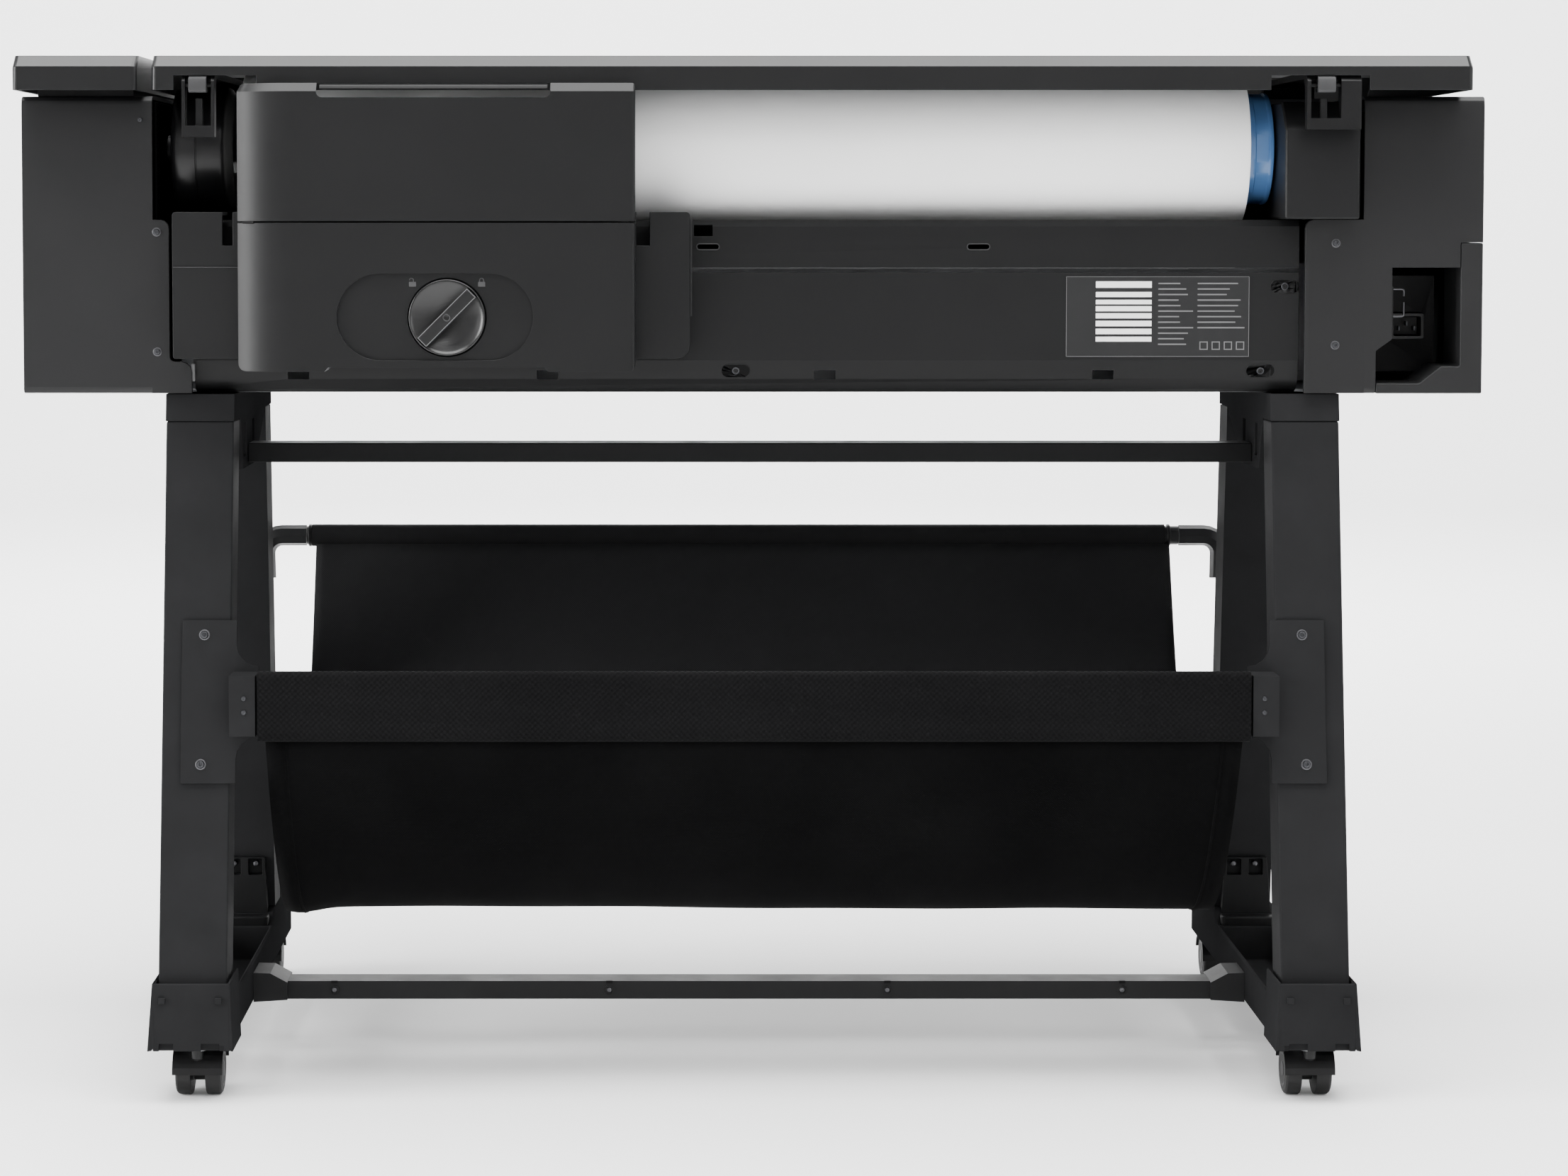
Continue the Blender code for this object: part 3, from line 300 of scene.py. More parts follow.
# The front sleeve's cloth is coloured paler: a painted sheen.
FRONT_SLEEVE_SHEEN = woven("front_sleeve_painted_sheen", (0.0090, 0.0090, 0.0093), 0.0012, 0.80, 0.5)
PAPER = paper_material("roll_paper", (0.945, 0.945, 0.940))
PAPER_EDGE = paper_edge_material("roll_edges")
CARD = paper_material("core_card", (0.33, 0.25, 0.17))
BLUE = moulded("hub_blue", (0.085, 0.200, 0.440), 0.24, grain=0.5)
GLASS = moulded("display_glass", (0.006, 0.007, 0.009), 0.06, grain=0.0)
# Grey for print, and for the painted highlight along the knob grip's edge.
PRINT_AND_HIGHLIGHT = moulded("print_and_painted_highlight_grey", (0.105, 0.105, 0.107), 0.55, grain=0.3)
ICON = moulded("icon_grey", (0.045, 0.045, 0.046), 0.55, grain=0.3, specular=0.2)
WHITE = moulded("label_white", (0.80, 0.80, 0.79), 0.50, grain=0.2)
LABEL = moulded("label_film", (0.0070, 0.0070, 0.0074), 0.36, grain=0.2, specular=0.3)
# Black for dark seams, and painted shade: flat floors in the ovals and blocks in place of notches.
SEAM_AND_PAINTED_SHADE = moulded("seam_and_painted_shade_black", (0.0015, 0.0015, 0.0016), 0.70, specular=0.1)
FLOOR = new_material("studio_floor", (0.84, 0.84, 0.84), 0.9, specular=0.1)


# ---------------------------------------------------------------- building tools

WELD = 0.00001
FLAT_ANGLE = math.radians(0.4)
BEVEL_ANGLE = math.radians(30)
CUT_MARGIN = 0.01


def link(obj):
    bpy.context.scene.collection.objects.link(obj)
    return obj


def finish_piece(obj, material, body="root", replaces=(), angle=32):
    """Give a piece its material and shading, and let it ride on its body."""
    if not obj.data.materials:
        obj.data.materials.append(material)
    obj.data.shade_smooth()
    obj.data.set_sharp_from_angle(angle=math.radians(angle))
    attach(obj, body)
    if replaces:
        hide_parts(*replaces)
    return obj


def add_bevel(obj, width, segments=3):
    modifier = obj.modifiers.new("edges", "BEVEL")
    modifier.width = width
    modifier.segments = segments
    modifier.limit_method = "ANGLE"
    modifier.angle_limit = BEVEL_ANGLE
    modifier.harden_normals = True
    modifier.miter_outer = "MITER_ARC"
    return obj


def edged_piece(obj, material, body, width, segments=3, replaces=()):
    """A finished piece with its edges rounded by a bevel."""
    return add_bevel(finish_piece(obj, material, body, replaces), width, segments)


def clean_mesh(mesh):
    """Weld a mesh's doubled points, and take out the lines inside its flat faces."""
    solid = bmesh.new()
    solid.from_mesh(mesh)
    bmesh.ops.remove_doubles(solid, verts=solid.verts, dist=WELD)
    bmesh.ops.dissolve_limit(solid, angle_limit=FLAT_ANGLE, verts=solid.verts, edges=solid.edges)
    solid.to_mesh(mesh)
    solid.free()


def cleaned(obj):
    clean_mesh(obj.data)
    return obj


def refined(node, material, width):
    """A piece with a CAD node's own shape, its edges rounded for real."""
    mesh = frame["nodes"][node].data.copy()
    clean_mesh(mesh)
    mesh.materials.clear()
    obj = link(bpy.data.objects.new(f"{node}_shell", mesh))
    return edged_piece(obj, material, BODY_OF[node], width, replaces=(node,))


# ---------------------------------------------------------------- mesh builders

def from_bmesh(name, solid):
    bmesh.ops.recalc_face_normals(solid, faces=solid.faces)
    mesh = bpy.data.meshes.new(name)
    solid.to_mesh(mesh)
    solid.free()
    return link(bpy.data.objects.new(name, mesh))


def lathe(name, profile, place, axis, steps=96, lobes=0):
    """Turn (along, radius) points, or (along, radius, lobe depth) points, round an axis."""
    solid = bmesh.new()
    turn = Matrix.Translation(place) @ Vector(axis).to_track_quat("Z", "Y").to_matrix().to_4x4()
    rings = []
    for along, radius, *wave in profile:
        if radius == 0.0:
            rings.append([solid.verts.new(turn @ Vector((0.0, 0.0, along)))])
            continue
        ring = []
        for i in range(steps):
            angle = 2 * math.pi * i / steps
            reach = radius + (wave[0] * math.cos(lobes * angle) if wave else 0.0)
            spot = Vector((reach * math.cos(angle), reach * math.sin(angle), along))
            ring.append(solid.verts.new(turn @ spot))
        rings.append(ring)
    for lower, upper in zip(rings, rings[1:]):
        for i in range(steps):
            j = (i + 1) % steps
            corners = [lower[i % len(lower)], lower[j % len(lower)],
                       upper[j % len(upper)], upper[i % len(upper)]]
            unique = list(dict.fromkeys(corners))
            if len(unique) > 2:
                solid.faces.new(unique)
    return from_bmesh(name, solid)


AXES = {"XZ": (0, 2, 1), "XY": (0, 1, 2), "YZ": (1, 2, 0)}


def plate(name, plane, outline, low, high):
    """An outline in a plane, filled and carried from low to high along the third axis."""
    first, second, along = AXES[plane]
    solid = bmesh.new()

    def corner(point, depth):
        spot = [0.0, 0.0, 0.0]
        spot[first], spot[second], spot[along] = point[0], point[1], depth
        return solid.verts.new(spot)

    start = [corner(p, low) for p in outline]
    end = [corner(p, high) for p in outline]
    solid.faces.new(start)
    solid.faces.new(end)
    for i in range(len(outline)):
        j = (i + 1) % len(outline)
        solid.faces.new((start[i], start[j], end[j], end[i]))
    return from_bmesh(name, solid)


def block(name, low, high):
    return plate(name, "XZ", rectangle(low[0], high[0], low[2], high[2]), low[1], high[1])


def rectangle(left, right, bottom, top):
    return [(left, bottom), (right, bottom), (right, top), (left, top)]


def arc(centre, radius, start, sweep, steps):
    return [(centre[0] + radius * math.cos(start + sweep * i / steps),
             centre[1] + radius * math.sin(start + sweep * i / steps)) for i in range(steps + 1)]


def stadium(centre, reach, radius, steps=16):
    return (arc((centre[0] + reach, centre[1]), radius, -math.pi / 2, math.pi, steps)
            + arc((centre[0] - reach, centre[1]), radius, math.pi / 2, math.pi, steps))


def round_rectangle(left, right, bottom, top, radius, steps=5):
    centres = ((right - radius, bottom + radius), (right - radius, top - radius),
               (left + radius, top - radius), (left + radius, bottom + radius))
    outline = []
    for quarter, centre in enumerate(centres):
        outline += arc(centre, radius, math.pi / 2 * (quarter - 1), math.pi / 2, steps)
    return outline


def mirrored(side, outline):
    """An outline drawn for the right, or its mirror image for the left, where side is -1."""
    return [(side * x, z) for x, z in outline]


def evaluated(obj):
    """Apply a piece's modifiers, and leave it with the result as its own mesh."""
    graph = bpy.context.evaluated_depsgraph_get()
    mesh = bpy.data.meshes.new_from_object(obj.evaluated_get(graph))
    obj.modifiers.clear()
    obj.data = mesh
    return obj


def carve(obj, *cutters, operation="DIFFERENCE"):
    """Cut a piece with each cutter in turn, and remove the cutters."""
    for cutter in cutters:
        modifier = obj.modifiers.new("carve", "BOOLEAN")
        modifier.operation = operation
        modifier.solver = "EXACT"
        modifier.object = cutter
        evaluated(obj)
        bpy.data.objects.remove(cutter)
    return obj


def pierced(name, plane, outer, inner, low, high):
    """A plate with a hole right through it."""
    cutter = plate("bite", plane, inner, low - CUT_MARGIN, high + CUT_MARGIN)
    return carve(plate(name, plane, outer, low, high), cutter)


def tube(name, path, radius, steps):
    """A round bar along a path of points, with UVs in metres along and round it."""
    points = [Vector(p) for p in path]
    solid = bmesh.new()
    layer = solid.loops.layers.uv.new("metres")
    rings, lengths, total = [], [], 0.0
    side = None
    for i, point in enumerate(points):
        ahead = points[min(i + 1, len(points) - 1)] - points[max(i - 1, 0)]
        ahead.normalize()
        if side is None:
            side = ahead.orthogonal().normalized()
        side = (side - side.project(ahead)).normalized()
        other = ahead.cross(side)
        if i:
            total += (point - points[i - 1]).length
        lengths.append(total)
        rings.append([solid.verts.new(
            point + radius * (math.cos(a) * side + math.sin(a) * other))
            for a in (2 * math.pi * k / steps for k in range(steps))])
    for i in range(len(rings) - 1):
        for k in range(steps):
            m = (k + 1) % steps
            face = solid.faces.new((rings[i][k], rings[i][m], rings[i + 1][m], rings[i + 1][k]))
            spots = ((lengths[i], k), (lengths[i], k + 1), (lengths[i + 1], k + 1), (lengths[i + 1], k))
            for loop, (along, turn) in zip(face.loops, spots):
                loop[layer].uv = (along, turn * 2 * math.pi * radius / steps)
    solid.faces.new(rings[0])
    solid.faces.new(rings[-1])
    return from_bmesh(name, solid)


TREES = {}


def face_behind(node, x, z):
    """Where a line from the rear, at x and z, first meets a node's surface."""
    if node not in TREES:
        mesh = frame["nodes"][node].data
        TREES[node] = BVHTree.FromPolygons(
            [v.co.copy() for v in mesh.vertices], [tuple(p.vertices) for p in mesh.polygons])
    spot, normal, _, _ = TREES[node].ray_cast(Vector((x, -1.0, z)), Vector((0.0, 1.0, 0.0)))
    if spot is None:
        raise ValueError(f"nothing of {node} at {x}, {z}")
    return spot, normal


def laid_on(spot, normal):
    """The move that lays a piece drawn in the XZ plane on a spot of a leaning rear face."""
    return Matrix.Translation(spot) @ Matrix.Rotation(math.atan2(-normal.z, -normal.y), 4, "X")


def screw(name, place, normal, radius, height, material, rim=None):
    """A pan-head screw with a six-lobed socket, on a washer rim if one is asked for."""
    normal = Vector(normal).normalized()
    socket = radius * 0.42
    profile = [(-0.0004, radius), (height * 0.45, radius), (height * 0.85, radius * 0.86),
               (height, radius * 0.62), (height, socket, socket * 0.16),
               (height * 0.25, socket * 0.94, socket * 0.15), (height * 0.2, 0.0)]
    head = lathe(name, profile, place, normal, steps=36, lobes=6)
    finish_piece(head, material, "root")
    if rim:
        ring = lathe(f"{name}_rim", [
            (-0.0003, radius * 1.42), (0.0004, radius * 1.42), (0.0006, radius * 1.30),
            (0.0006, radius * 1.06), (-0.0003, radius * 1.06)], place, normal, steps=36)
        finish_piece(ring, rim, "root")


# ---------------------------------------------------------------- studio

PHOTO_WIDTH = 2212
FOCAL_PIXELS = 4901
SENSOR = 36.0
CAMERA_PLACE = (-0.078, -3.3525, 0.788)
SHIFT = (0.0750, -0.120)
PITCH = math.radians(3.0025)
ROOM_REACH, ROOM_BEND, ROOM_HEIGHT = 8.0, 1.6, 7.0
AIR_COLOUR, AIR_STRENGTH = (0.96, 0.98, 1.0, 1.0), 0.25
# Each light's name, place, target, width and height, and power in watts.
LIGHTS = (
    ("top_softbox", (0.0, -0.35, 3.4), (0.0, -0.1, 0.6), (4.0, 2.8), 520),
    ("left_softbox", (-3.6, -1.1, 1.2), (-0.3, -0.2, 0.7), (1.2, 2.2), 215),
    ("right_softbox", (3.6, -1.6, 1.7), (0.2, -0.2, 0.6), (1.0, 2.2), 34),
    ("front_softbox", (0.4, 3.2, 2.6), (0.0, 0.0, 0.4), (3.0, 1.4), 90),
    ("backdrop_wash", (0.0, 3.0, 3.6), (0.0, 8.0, 0.9), (5.0, 1.4), 900),
    ("rear_key", (0.5, -4.2, 4.2), (0.0, 0.0, 0.7), (3.0, 1.2), 55),
    ("rear_wash", (0.0, -4.2, 4.0), (0.0, -8.0, 1.2), (5.0, 1.4), 70),
)


def build_camera():
    data = bpy.data.cameras.new("camera")
    data.sensor_width = SENSOR
    data.lens = FOCAL_PIXELS / PHOTO_WIDTH * SENSOR
    data.shift_x, data.shift_y = SHIFT
    camera = link(bpy.data.objects.new("camera", data))
    camera.location = CAMERA_PLACE
    camera.rotation_euler = (math.pi / 2 - PITCH, 0.0, 0.0)
    bpy.context.scene.camera = camera


def area_light(name, place, target, size, power):
    data = bpy.data.lights.new(name, "AREA")
    data.shape = "RECTANGLE"
    data.size, data.size_y = size
    data.energy = power
    light = link(bpy.data.objects.new(name, data))
    light.location = place
    light.rotation_euler = (Vector(target) - Vector(place)).to_track_quat("-Z", "Y").to_euler()


def build_room():
    """A round floor that curves up into its wall, and the pale light in its air."""
    bend = ROOM_BEND
    profile = [(0.0, 0.0), (0.0, 1.5), (0.0, 3.5), (0.0, ROOM_REACH - bend)]
    profile += [(bend - bend * math.cos(a), ROOM_REACH - bend + bend * math.sin(a))
                for a in (math.radians(9 * i) for i in range(1, 11))]
    room = lathe("studio", profile + [(ROOM_HEIGHT, ROOM_REACH)], (0.0, 0.0, 0.0), (0, 0, 1))
    room.data.materials.append(FLOOR)
    room.data.shade_smooth()
    room.data.flip_normals()
    world = bpy.data.worlds.new("studio_air")
    world.use_nodes = True
    background = world.node_tree.nodes["Background"]
    background.inputs["Color"].default_value = AIR_COLOUR
    background.inputs["Strength"].default_value = AIR_STRENGTH
    bpy.context.scene.world = world


build_camera()
build_room()
for light_facts in LIGHTS:
    area_light(*light_facts)


# ---------------------------------------------------------------- shells with the CAD's own shape

# {side} stands for left and right, and {end} for rear and front. The number is the edges' radius.
SHELLS = {
    "end_cover_left": (COVER_AND_HIGHLIGHT, 0.0025), "end_cover_right": (COVER_AND_HIGHLIGHT, 0.0020),
    "corner_cover": (COVER_AND_HIGHLIGHT, 0.0015), "control_housing": (LID, 0.0022),
    "rear_panel_upper": (PANEL, 0.0009), "rear_panel_lower": (PANEL, 0.0011),
    "feeder_housing": (FEEDER, 0.0012), "spindle_block": (BODY, 0.0016),
    "lid_hinge_{side}": (BLACK, 0.0006), "front_cover": (COVER_AND_HIGHLIGHT, 0.0025), "platen": (BLACK, 0.0006),
    "carriage_beam": (DARK_STEEL, 0.0006), "main_beam": (ZINC, 0.0008),
    "bottom_tray": (ZINC, 0.0007), "side_plate_{side}": (BAY, 0.0006), "service_station": (BLACK, 0.0012),
    "ink_supply_rack": (BLACK, 0.0010), "power_supply": (BLACK, 0.0010),
    "upper_crossbar": (BAR, 0.0014), "lower_crossbar": (LOWER_BAR, 0.0012),
    "leg_head_{side}": (FOOT, 0.0008), "{end}_leg_{side}": (LEG, 0.0022),
    "base_beam_{side}": (FOOT, 0.0014), "foot_cap_{side}": (FOOT, 0.0005),
    "bin_bracket_{side}": (FOOT, 0.0010), "bin_rear_bar": (BAR, 0.0010), "top_lid": (LID, 0.0010),
    "feed_roller": (RUBBER, 0.0005), "carriage": (BLACK, 0.0016),
    "ink_door": (COVER_AND_HIGHLIGHT, 0.0008), "power_button": (GLOSS_BLACK, 0.0008),
    "display_panel": (GLASS, 0.0010), "spindle_shaft": (BLACK, 0.0010),
    "bin_front_tube": (ELBOW, 0.0004), "bin_side_rod_{side}": (ELBOW, 0.0004),
    "caster_fork_{end}_{side}": (BLACK, 0.0007), "caster_wheels_{end}_{side}": (RUBBER, 0.0009),
}
HIDDEN_MATERIALS = {
    "bin_sling": CLOTH, "paper_roll": PAPER, "spindle_hub": BLUE, "spindle_drum": GLOSS_BLACK,
    "feeder_body": FEEDER, "feeder_flap": FEEDER, "lock_knob": KNOB,
}


# The shells whose upright rear corners are rounder than their other edges.
BROAD_CORNERS = {"top_lid": 0.0045, "control_housing": 0.0045, "end_cover_right": 0.0040,
                 "end_cover_left": 0.0040}


def copies(pattern):
    """The nodes that a pattern's name stands for."""
    return dict.fromkeys(pattern.format(end=end, side=mark) for end in ("rear", "front") for _, mark in SIDES)


def dress_frame():
    """Materials on every CAD node, then a rounded shell over each one that keeps its shape."""
    shells = {node: shell for pattern, shell in SHELLS.items() for node in copies(pattern)}
    for node, obj in frame["nodes"].items():
        material = shells[node][0] if node in shells else HIDDEN_MATERIALS[node]
        obj.data.materials.clear()
        obj.data.materials.append(material)
    for node, (material, width) in shells.items():
        refined(node, material, width)


def round_uprights(obj, width):
    """Round the upright edges at a shell's outer ends, on its rear side, more than the rest."""
    solid = bmesh.new()
    solid.from_mesh(obj.data)
    xs = [v.co.x for v in solid.verts]
    ends, rear = (min(xs), max(xs)), min(v.co.y for v in solid.verts)
    edges = []
    for edge in solid.edges:
        start, stop = (v.co for v in edge.verts)
        along, middle = stop - start, (start + stop) / 2
        upright = abs(along.x) < 0.0001 and abs(along.z) > 0.003
        outermost = min(abs(middle.x - x) for x in ends) < 0.0006 and middle.y < rear + 0.014
        if (upright and outermost and len(edge.link_faces) == 2
                and edge.calc_face_angle() > math.radians(60)):
            edges.append(edge)
    bmesh.ops.bevel(solid, geom=edges, offset=width, segments=4, affect="EDGES", profile=0.5,
                    clamp_overlap=True)
    solid.to_mesh(obj.data)
    solid.free()


dress_frame()
for shell_node, corner_width in BROAD_CORNERS.items():
    round_uprights(bpy.data.objects[f"{shell_node}_shell"], corner_width)


# ---------------------------------------------------------------- sheet feeder

FEEDER_LEFT, FEEDER_RIGHT = -0.458, -0.1055
FEEDER_REAR, FEEDER_FRONT, FLAP_FRONT = -0.290, -0.2503, -0.270
CURVE_WIDTH = 0.052
THROUGH = (-0.32, -0.24)
CUT_FROM = -0.31
BODY_LOW, BODY_HIGH = 0.652, 0.7832
FLAP_LOW, FLAP_HIGH = 0.7850, 0.9065
CHAMFER_IN, CHAMFER_DOWN = 0.0065, 0.0075


def feeder_plan(front):
    """The feeder seen from above: a broad curve at its left end and a small one at its right."""
    sweep = math.radians(40)
    radius = CURVE_WIDTH / math.sin(sweep)
    centre = (FEEDER_LEFT + CURVE_WIDTH, FEEDER_REAR + radius)
    outline = [(centre[0] - radius * math.sin(angle), centre[1] - radius * math.cos(angle))
               for angle in (sweep * (1 - i / 24) for i in range(25))]
    outline = [spot for spot in outline if spot[1] <= front - 0.0005]
    outline += arc((FEEDER_RIGHT - 0.004, FEEDER_REAR + 0.004), 0.004, -math.pi / 2, math.pi / 2, 6)
    return outline + [(FEEDER_RIGHT, front), (outline[0][0], front)]


def inset_plan(front, inset):
    """The feeder's plan with its rear side and its left curve moved in, for a chamfer."""
    plan = feeder_plan(front)
    moved = []
    for i, (x, y) in enumerate(plan):
        before, after = plan[max(i - 1, 0)], plan[min(i + 1, len(plan) - 1)]
        if y >= front - 0.0001 or x > FEEDER_LEFT + CURVE_WIDTH:
            moved.append((x, min(y + inset, front) if y < front - 0.0001 else y))
            continue
        along = Vector((after[0] - before[0], after[1] - before[1])).normalized()
        moved.append((x - along.y * inset, min(y + along.x * inset, front)))
    return moved


def stacked(name, layers):
    """A solid through (outline, height) layers whose outlines have the same number of points."""
    solid = bmesh.new()
    rings = [[solid.verts.new((x, y, z)) for x, y in outline] for outline, z in layers]
    count = len(rings[0])
    for below, above in zip(rings, rings[1:]):
        for i in range(count):
            solid.faces.new((below[i], below[(i + 1) % count], above[(i + 1) % count], above[i]))
    solid.faces.new(rings[0])
    solid.faces.new(rings[-1])
    return from_bmesh(name, solid)


def build_feeder_body():
    """The removable body, with its rounded ends, its oval recess and the knob's well."""
    low, high = BODY_LOW, BODY_HIGH
    body = plate("feeder_panel", "XY", feeder_plan(FEEDER_FRONT), low - CUT_MARGIN, high)
    outline = ([(-0.380, low), (-0.3765, 0.656), (-0.186, 0.656), (-0.1825, low)]
               + arc((FEEDER_RIGHT - 0.006, low + 0.006), 0.006, -math.pi / 2, math.pi / 2, 6)
               + [(FEEDER_RIGHT, high + CUT_MARGIN), (FEEDER_LEFT, high + CUT_MARGIN)]
               + arc((FEEDER_LEFT + 0.007, low + 0.007), 0.007, math.pi, math.pi / 2, 6))
    carve(body, plate("trim", "XZ", outline, *THROUGH), operation="INTERSECT")
    oval = stadium((-0.28205, 0.7005), 0.0481, 0.0385, 24)
    round_well = arc((KNOB_PLACE.x, KNOB_PLACE.z), 0.0349, 0.0, 2 * math.pi, 96)[:-1]
    carve(body, plate("recess", "XZ", oval, CUT_FROM, FEEDER_REAR + 0.003),
          plate("well", "XZ", round_well, CUT_FROM, -0.2762))
    edged_piece(cleaned(body), FEEDER, "feeder", 0.0013, 4, ("feeder_body",))


def build_flap():
    """The input flap: a chamfered top edge, a long finger notch, and the lip inside it."""
    low, high, plan = FLAP_LOW, FLAP_HIGH, feeder_plan(FLAP_FRONT)
    flap = stacked("feeder_lid", (
        (plan, low - CUT_MARGIN), (plan, high - CHAMFER_DOWN), (inset_plan(FLAP_FRONT, CHAMFER_IN), high)))
    outline = ([(FEEDER_LEFT, low), (FEEDER_RIGHT, low)]
               + arc((FEEDER_RIGHT - 0.003, high - 0.003), 0.003, 0.0, math.pi / 2, 5)
               + arc((FEEDER_LEFT + 0.008, high - 0.008), 0.008, math.pi / 2, math.pi / 2, 8))
    carve(flap, plate("trim", "XZ", outline, *THROUGH), operation="INTERSECT")
    carve(flap, plate("notch", "XZ", round_rectangle(-0.386, -0.180, 0.8936, 0.930, 0.005), CUT_FROM, -0.279))
    edged_piece(cleaned(flap), FEEDER, "flap", 0.0013, 4, ("feeder_flap",))
    lip = plate("flap_finger_lip", "YZ", [
        (-0.2792, 0.9008), (-0.2868, 0.9008), (-0.2872, 0.9016), (-0.2860, 0.9040), (-0.2835, 0.9052),
        (-0.2792, 0.9056)], -0.3835, -0.1825)
    edged_piece(lip, BLACK, "flap", 0.0004)


def build_knob():
    """The dished dial, its slanting grip with a hole in it, and a paler strip round the grip's edge and a
    pale ring round its hole, both painted highlights.
    """
    bowl = [(0.0092 - 0.0088 * (r / 0.0322) ** 2.2, r) for r in (0.0322 - 0.0023 * i for i in range(14))]
    dial = lathe("lock_dial", [
        (0.0138, 0.0), (0.0138, 0.0338), (0.0010, 0.0338), (0.0003, 0.0335), (0.0, 0.0331), (0.0, 0.0325),
        *bowl, (0.0092, 0.0)], KNOB_PLACE, (0, 1, 0), steps=128)
    finish_piece(dial, DIAL, "knob", ("lock_knob",), angle=50)
    turn = (Matrix.Translation(KNOB_PLACE) @ Matrix.Rotation(-math.pi / 4, 4, "Y")
            @ Matrix.Rotation(-math.pi / 2, 4, "X"))
    half_long, half_wide, edge_inset, edge_width = 0.0312, 0.0057, 0.0004, 0.0005
    grip = plate("lock_grip", "XY", round_rectangle(-half_long, half_long, -half_wide, half_wide, 0.0010),
                 -0.0040, 0.0094)
    hole = lathe("hole", [(-0.01, 0.0), (-0.01, 0.0026), (0.0016, 0.0026), (0.0024, 0.0)],
                 (0.0, 0.0, -0.004), (0, 0, 1), steps=32)
    carve(grip, hole)
    grip.data.transform(turn)
    edged_piece(grip, KNOB, "knob", 0.0007)
    # A paler strip round the grip's edge: a painted highlight of its lit bevel.
    outer, inner = (rectangle(inset - half_long, half_long - inset, inset - half_wide, half_wide - inset)
                    for inset in (edge_inset, edge_inset + edge_width))
    edge = pierced("lock_grip_edge_painted_highlight", "XY", outer, inner, -0.0042, -0.0034)
    edge.data.transform(turn)
    finish_piece(edge, PRINT_AND_HIGHLIGHT, "knob")
    # A pale ring round the grip's hole: a painted highlight on its rim.
    ring = lathe("lock_grip_ring_painted_highlight", [
        (-0.0042, 0.0026), (-0.0044, 0.0029), (-0.0044, 0.0032), (-0.0040, 0.0034)],
        KNOB_PLACE, (0, 1, 0), steps=40)
    finish_piece(ring, CLIP_AND_HIGHLIGHT, "knob")


def padlock(name, x, z, opened):
    """A small printed padlock: a body, and a shackle that stands to one side when it is open."""
    back, front = FEEDER_REAR + 0.0031, FEEDER_REAR + 0.0028
    body_top, shoulder = z + 0.0004, z + 0.0018
    case = plate(f"{name}_case", "XZ", rectangle(x - 0.0031, x + 0.0031, z - 0.0038, body_top), front, back)
    finish_piece(case, ICON, "feeder")
    middle = x - 0.0009 if opened else x
    foot = shoulder if opened else body_top
    outer = arc((middle, shoulder), 0.0021, 0.0, math.pi, 14)
    inner = arc((middle, shoulder), 0.0014, math.pi, -math.pi, 14)
    outline = [(outer[0][0], body_top), *outer, (outer[-1][0], foot), (inner[0][0], foot), *inner,
               (inner[-1][0], body_top)]
    finish_piece(plate(f"{name}_shackle", "XZ", outline, front, back), ICON, "feeder")


def build_feeder():
    build_feeder_body()
    build_flap()
    build_knob()
    padlock("icon_open", -0.302, 0.731, True)
    padlock("icon_closed", -0.241, 0.731, False)
    for i, x in enumerate((-0.4475, -0.1160)):
        pin = block(f"flap_pin_{i}", (x - 0.005, -0.2820, 0.7826), (x + 0.005, -0.2722, 0.7845))
        edged_piece(pin, BLACK, "feeder", 0.0005, 2)


# ---------------------------------------------------------------- paper roll and its spindle

ROLL_Y, ROLL_Z = -0.140, 0.851


def turned_x(name, profile, steps=128, lobes=0):
    """Turn (x, radius) points round the roll's axis."""
    return lathe(name, profile, (0.0, ROLL_Y, ROLL_Z), (1, 0, 0), steps, lobes)


def build_roll():
    """The wound paper, its two ends of layered edges, and the card core they sit on."""
    left, right, radius, core = -0.4638, 0.4498, 0.0699, 0.0404
    face = turned_x("paper_face", [
        (left, radius - 0.0006), (left + 0.0004, radius - 0.0001), (left + 0.001, radius),
        (right - 0.001, radius), (right - 0.0004, radius - 0.0001), (right, radius - 0.0006)], 192)
    finish_piece(face, PAPER, "roll", ("paper_roll",))
    for name, x, inward in (("left", left, 0.0002), ("right", right, -0.0002)):
        end = turned_x(f"paper_end_{name}", [(x, radius - 0.0006), (x + inward, core)], 192)
        finish_piece(end, PAPER_EDGE, "roll")
    tube_wall = turned_x("paper_core", [
        (left + 0.0002, core), (left - 0.0004, core - 0.0002), (left - 0.0004, core - 0.0016),
        (left + 0.0002, 0.0383), (right - 0.0002, 0.0383), (right + 0.0003, core - 0.0016),
        (right + 0.0003, core - 0.0002), (right - 0.0002, core)], 128)
    finish_piece(tube_wall, CARD, "roll")


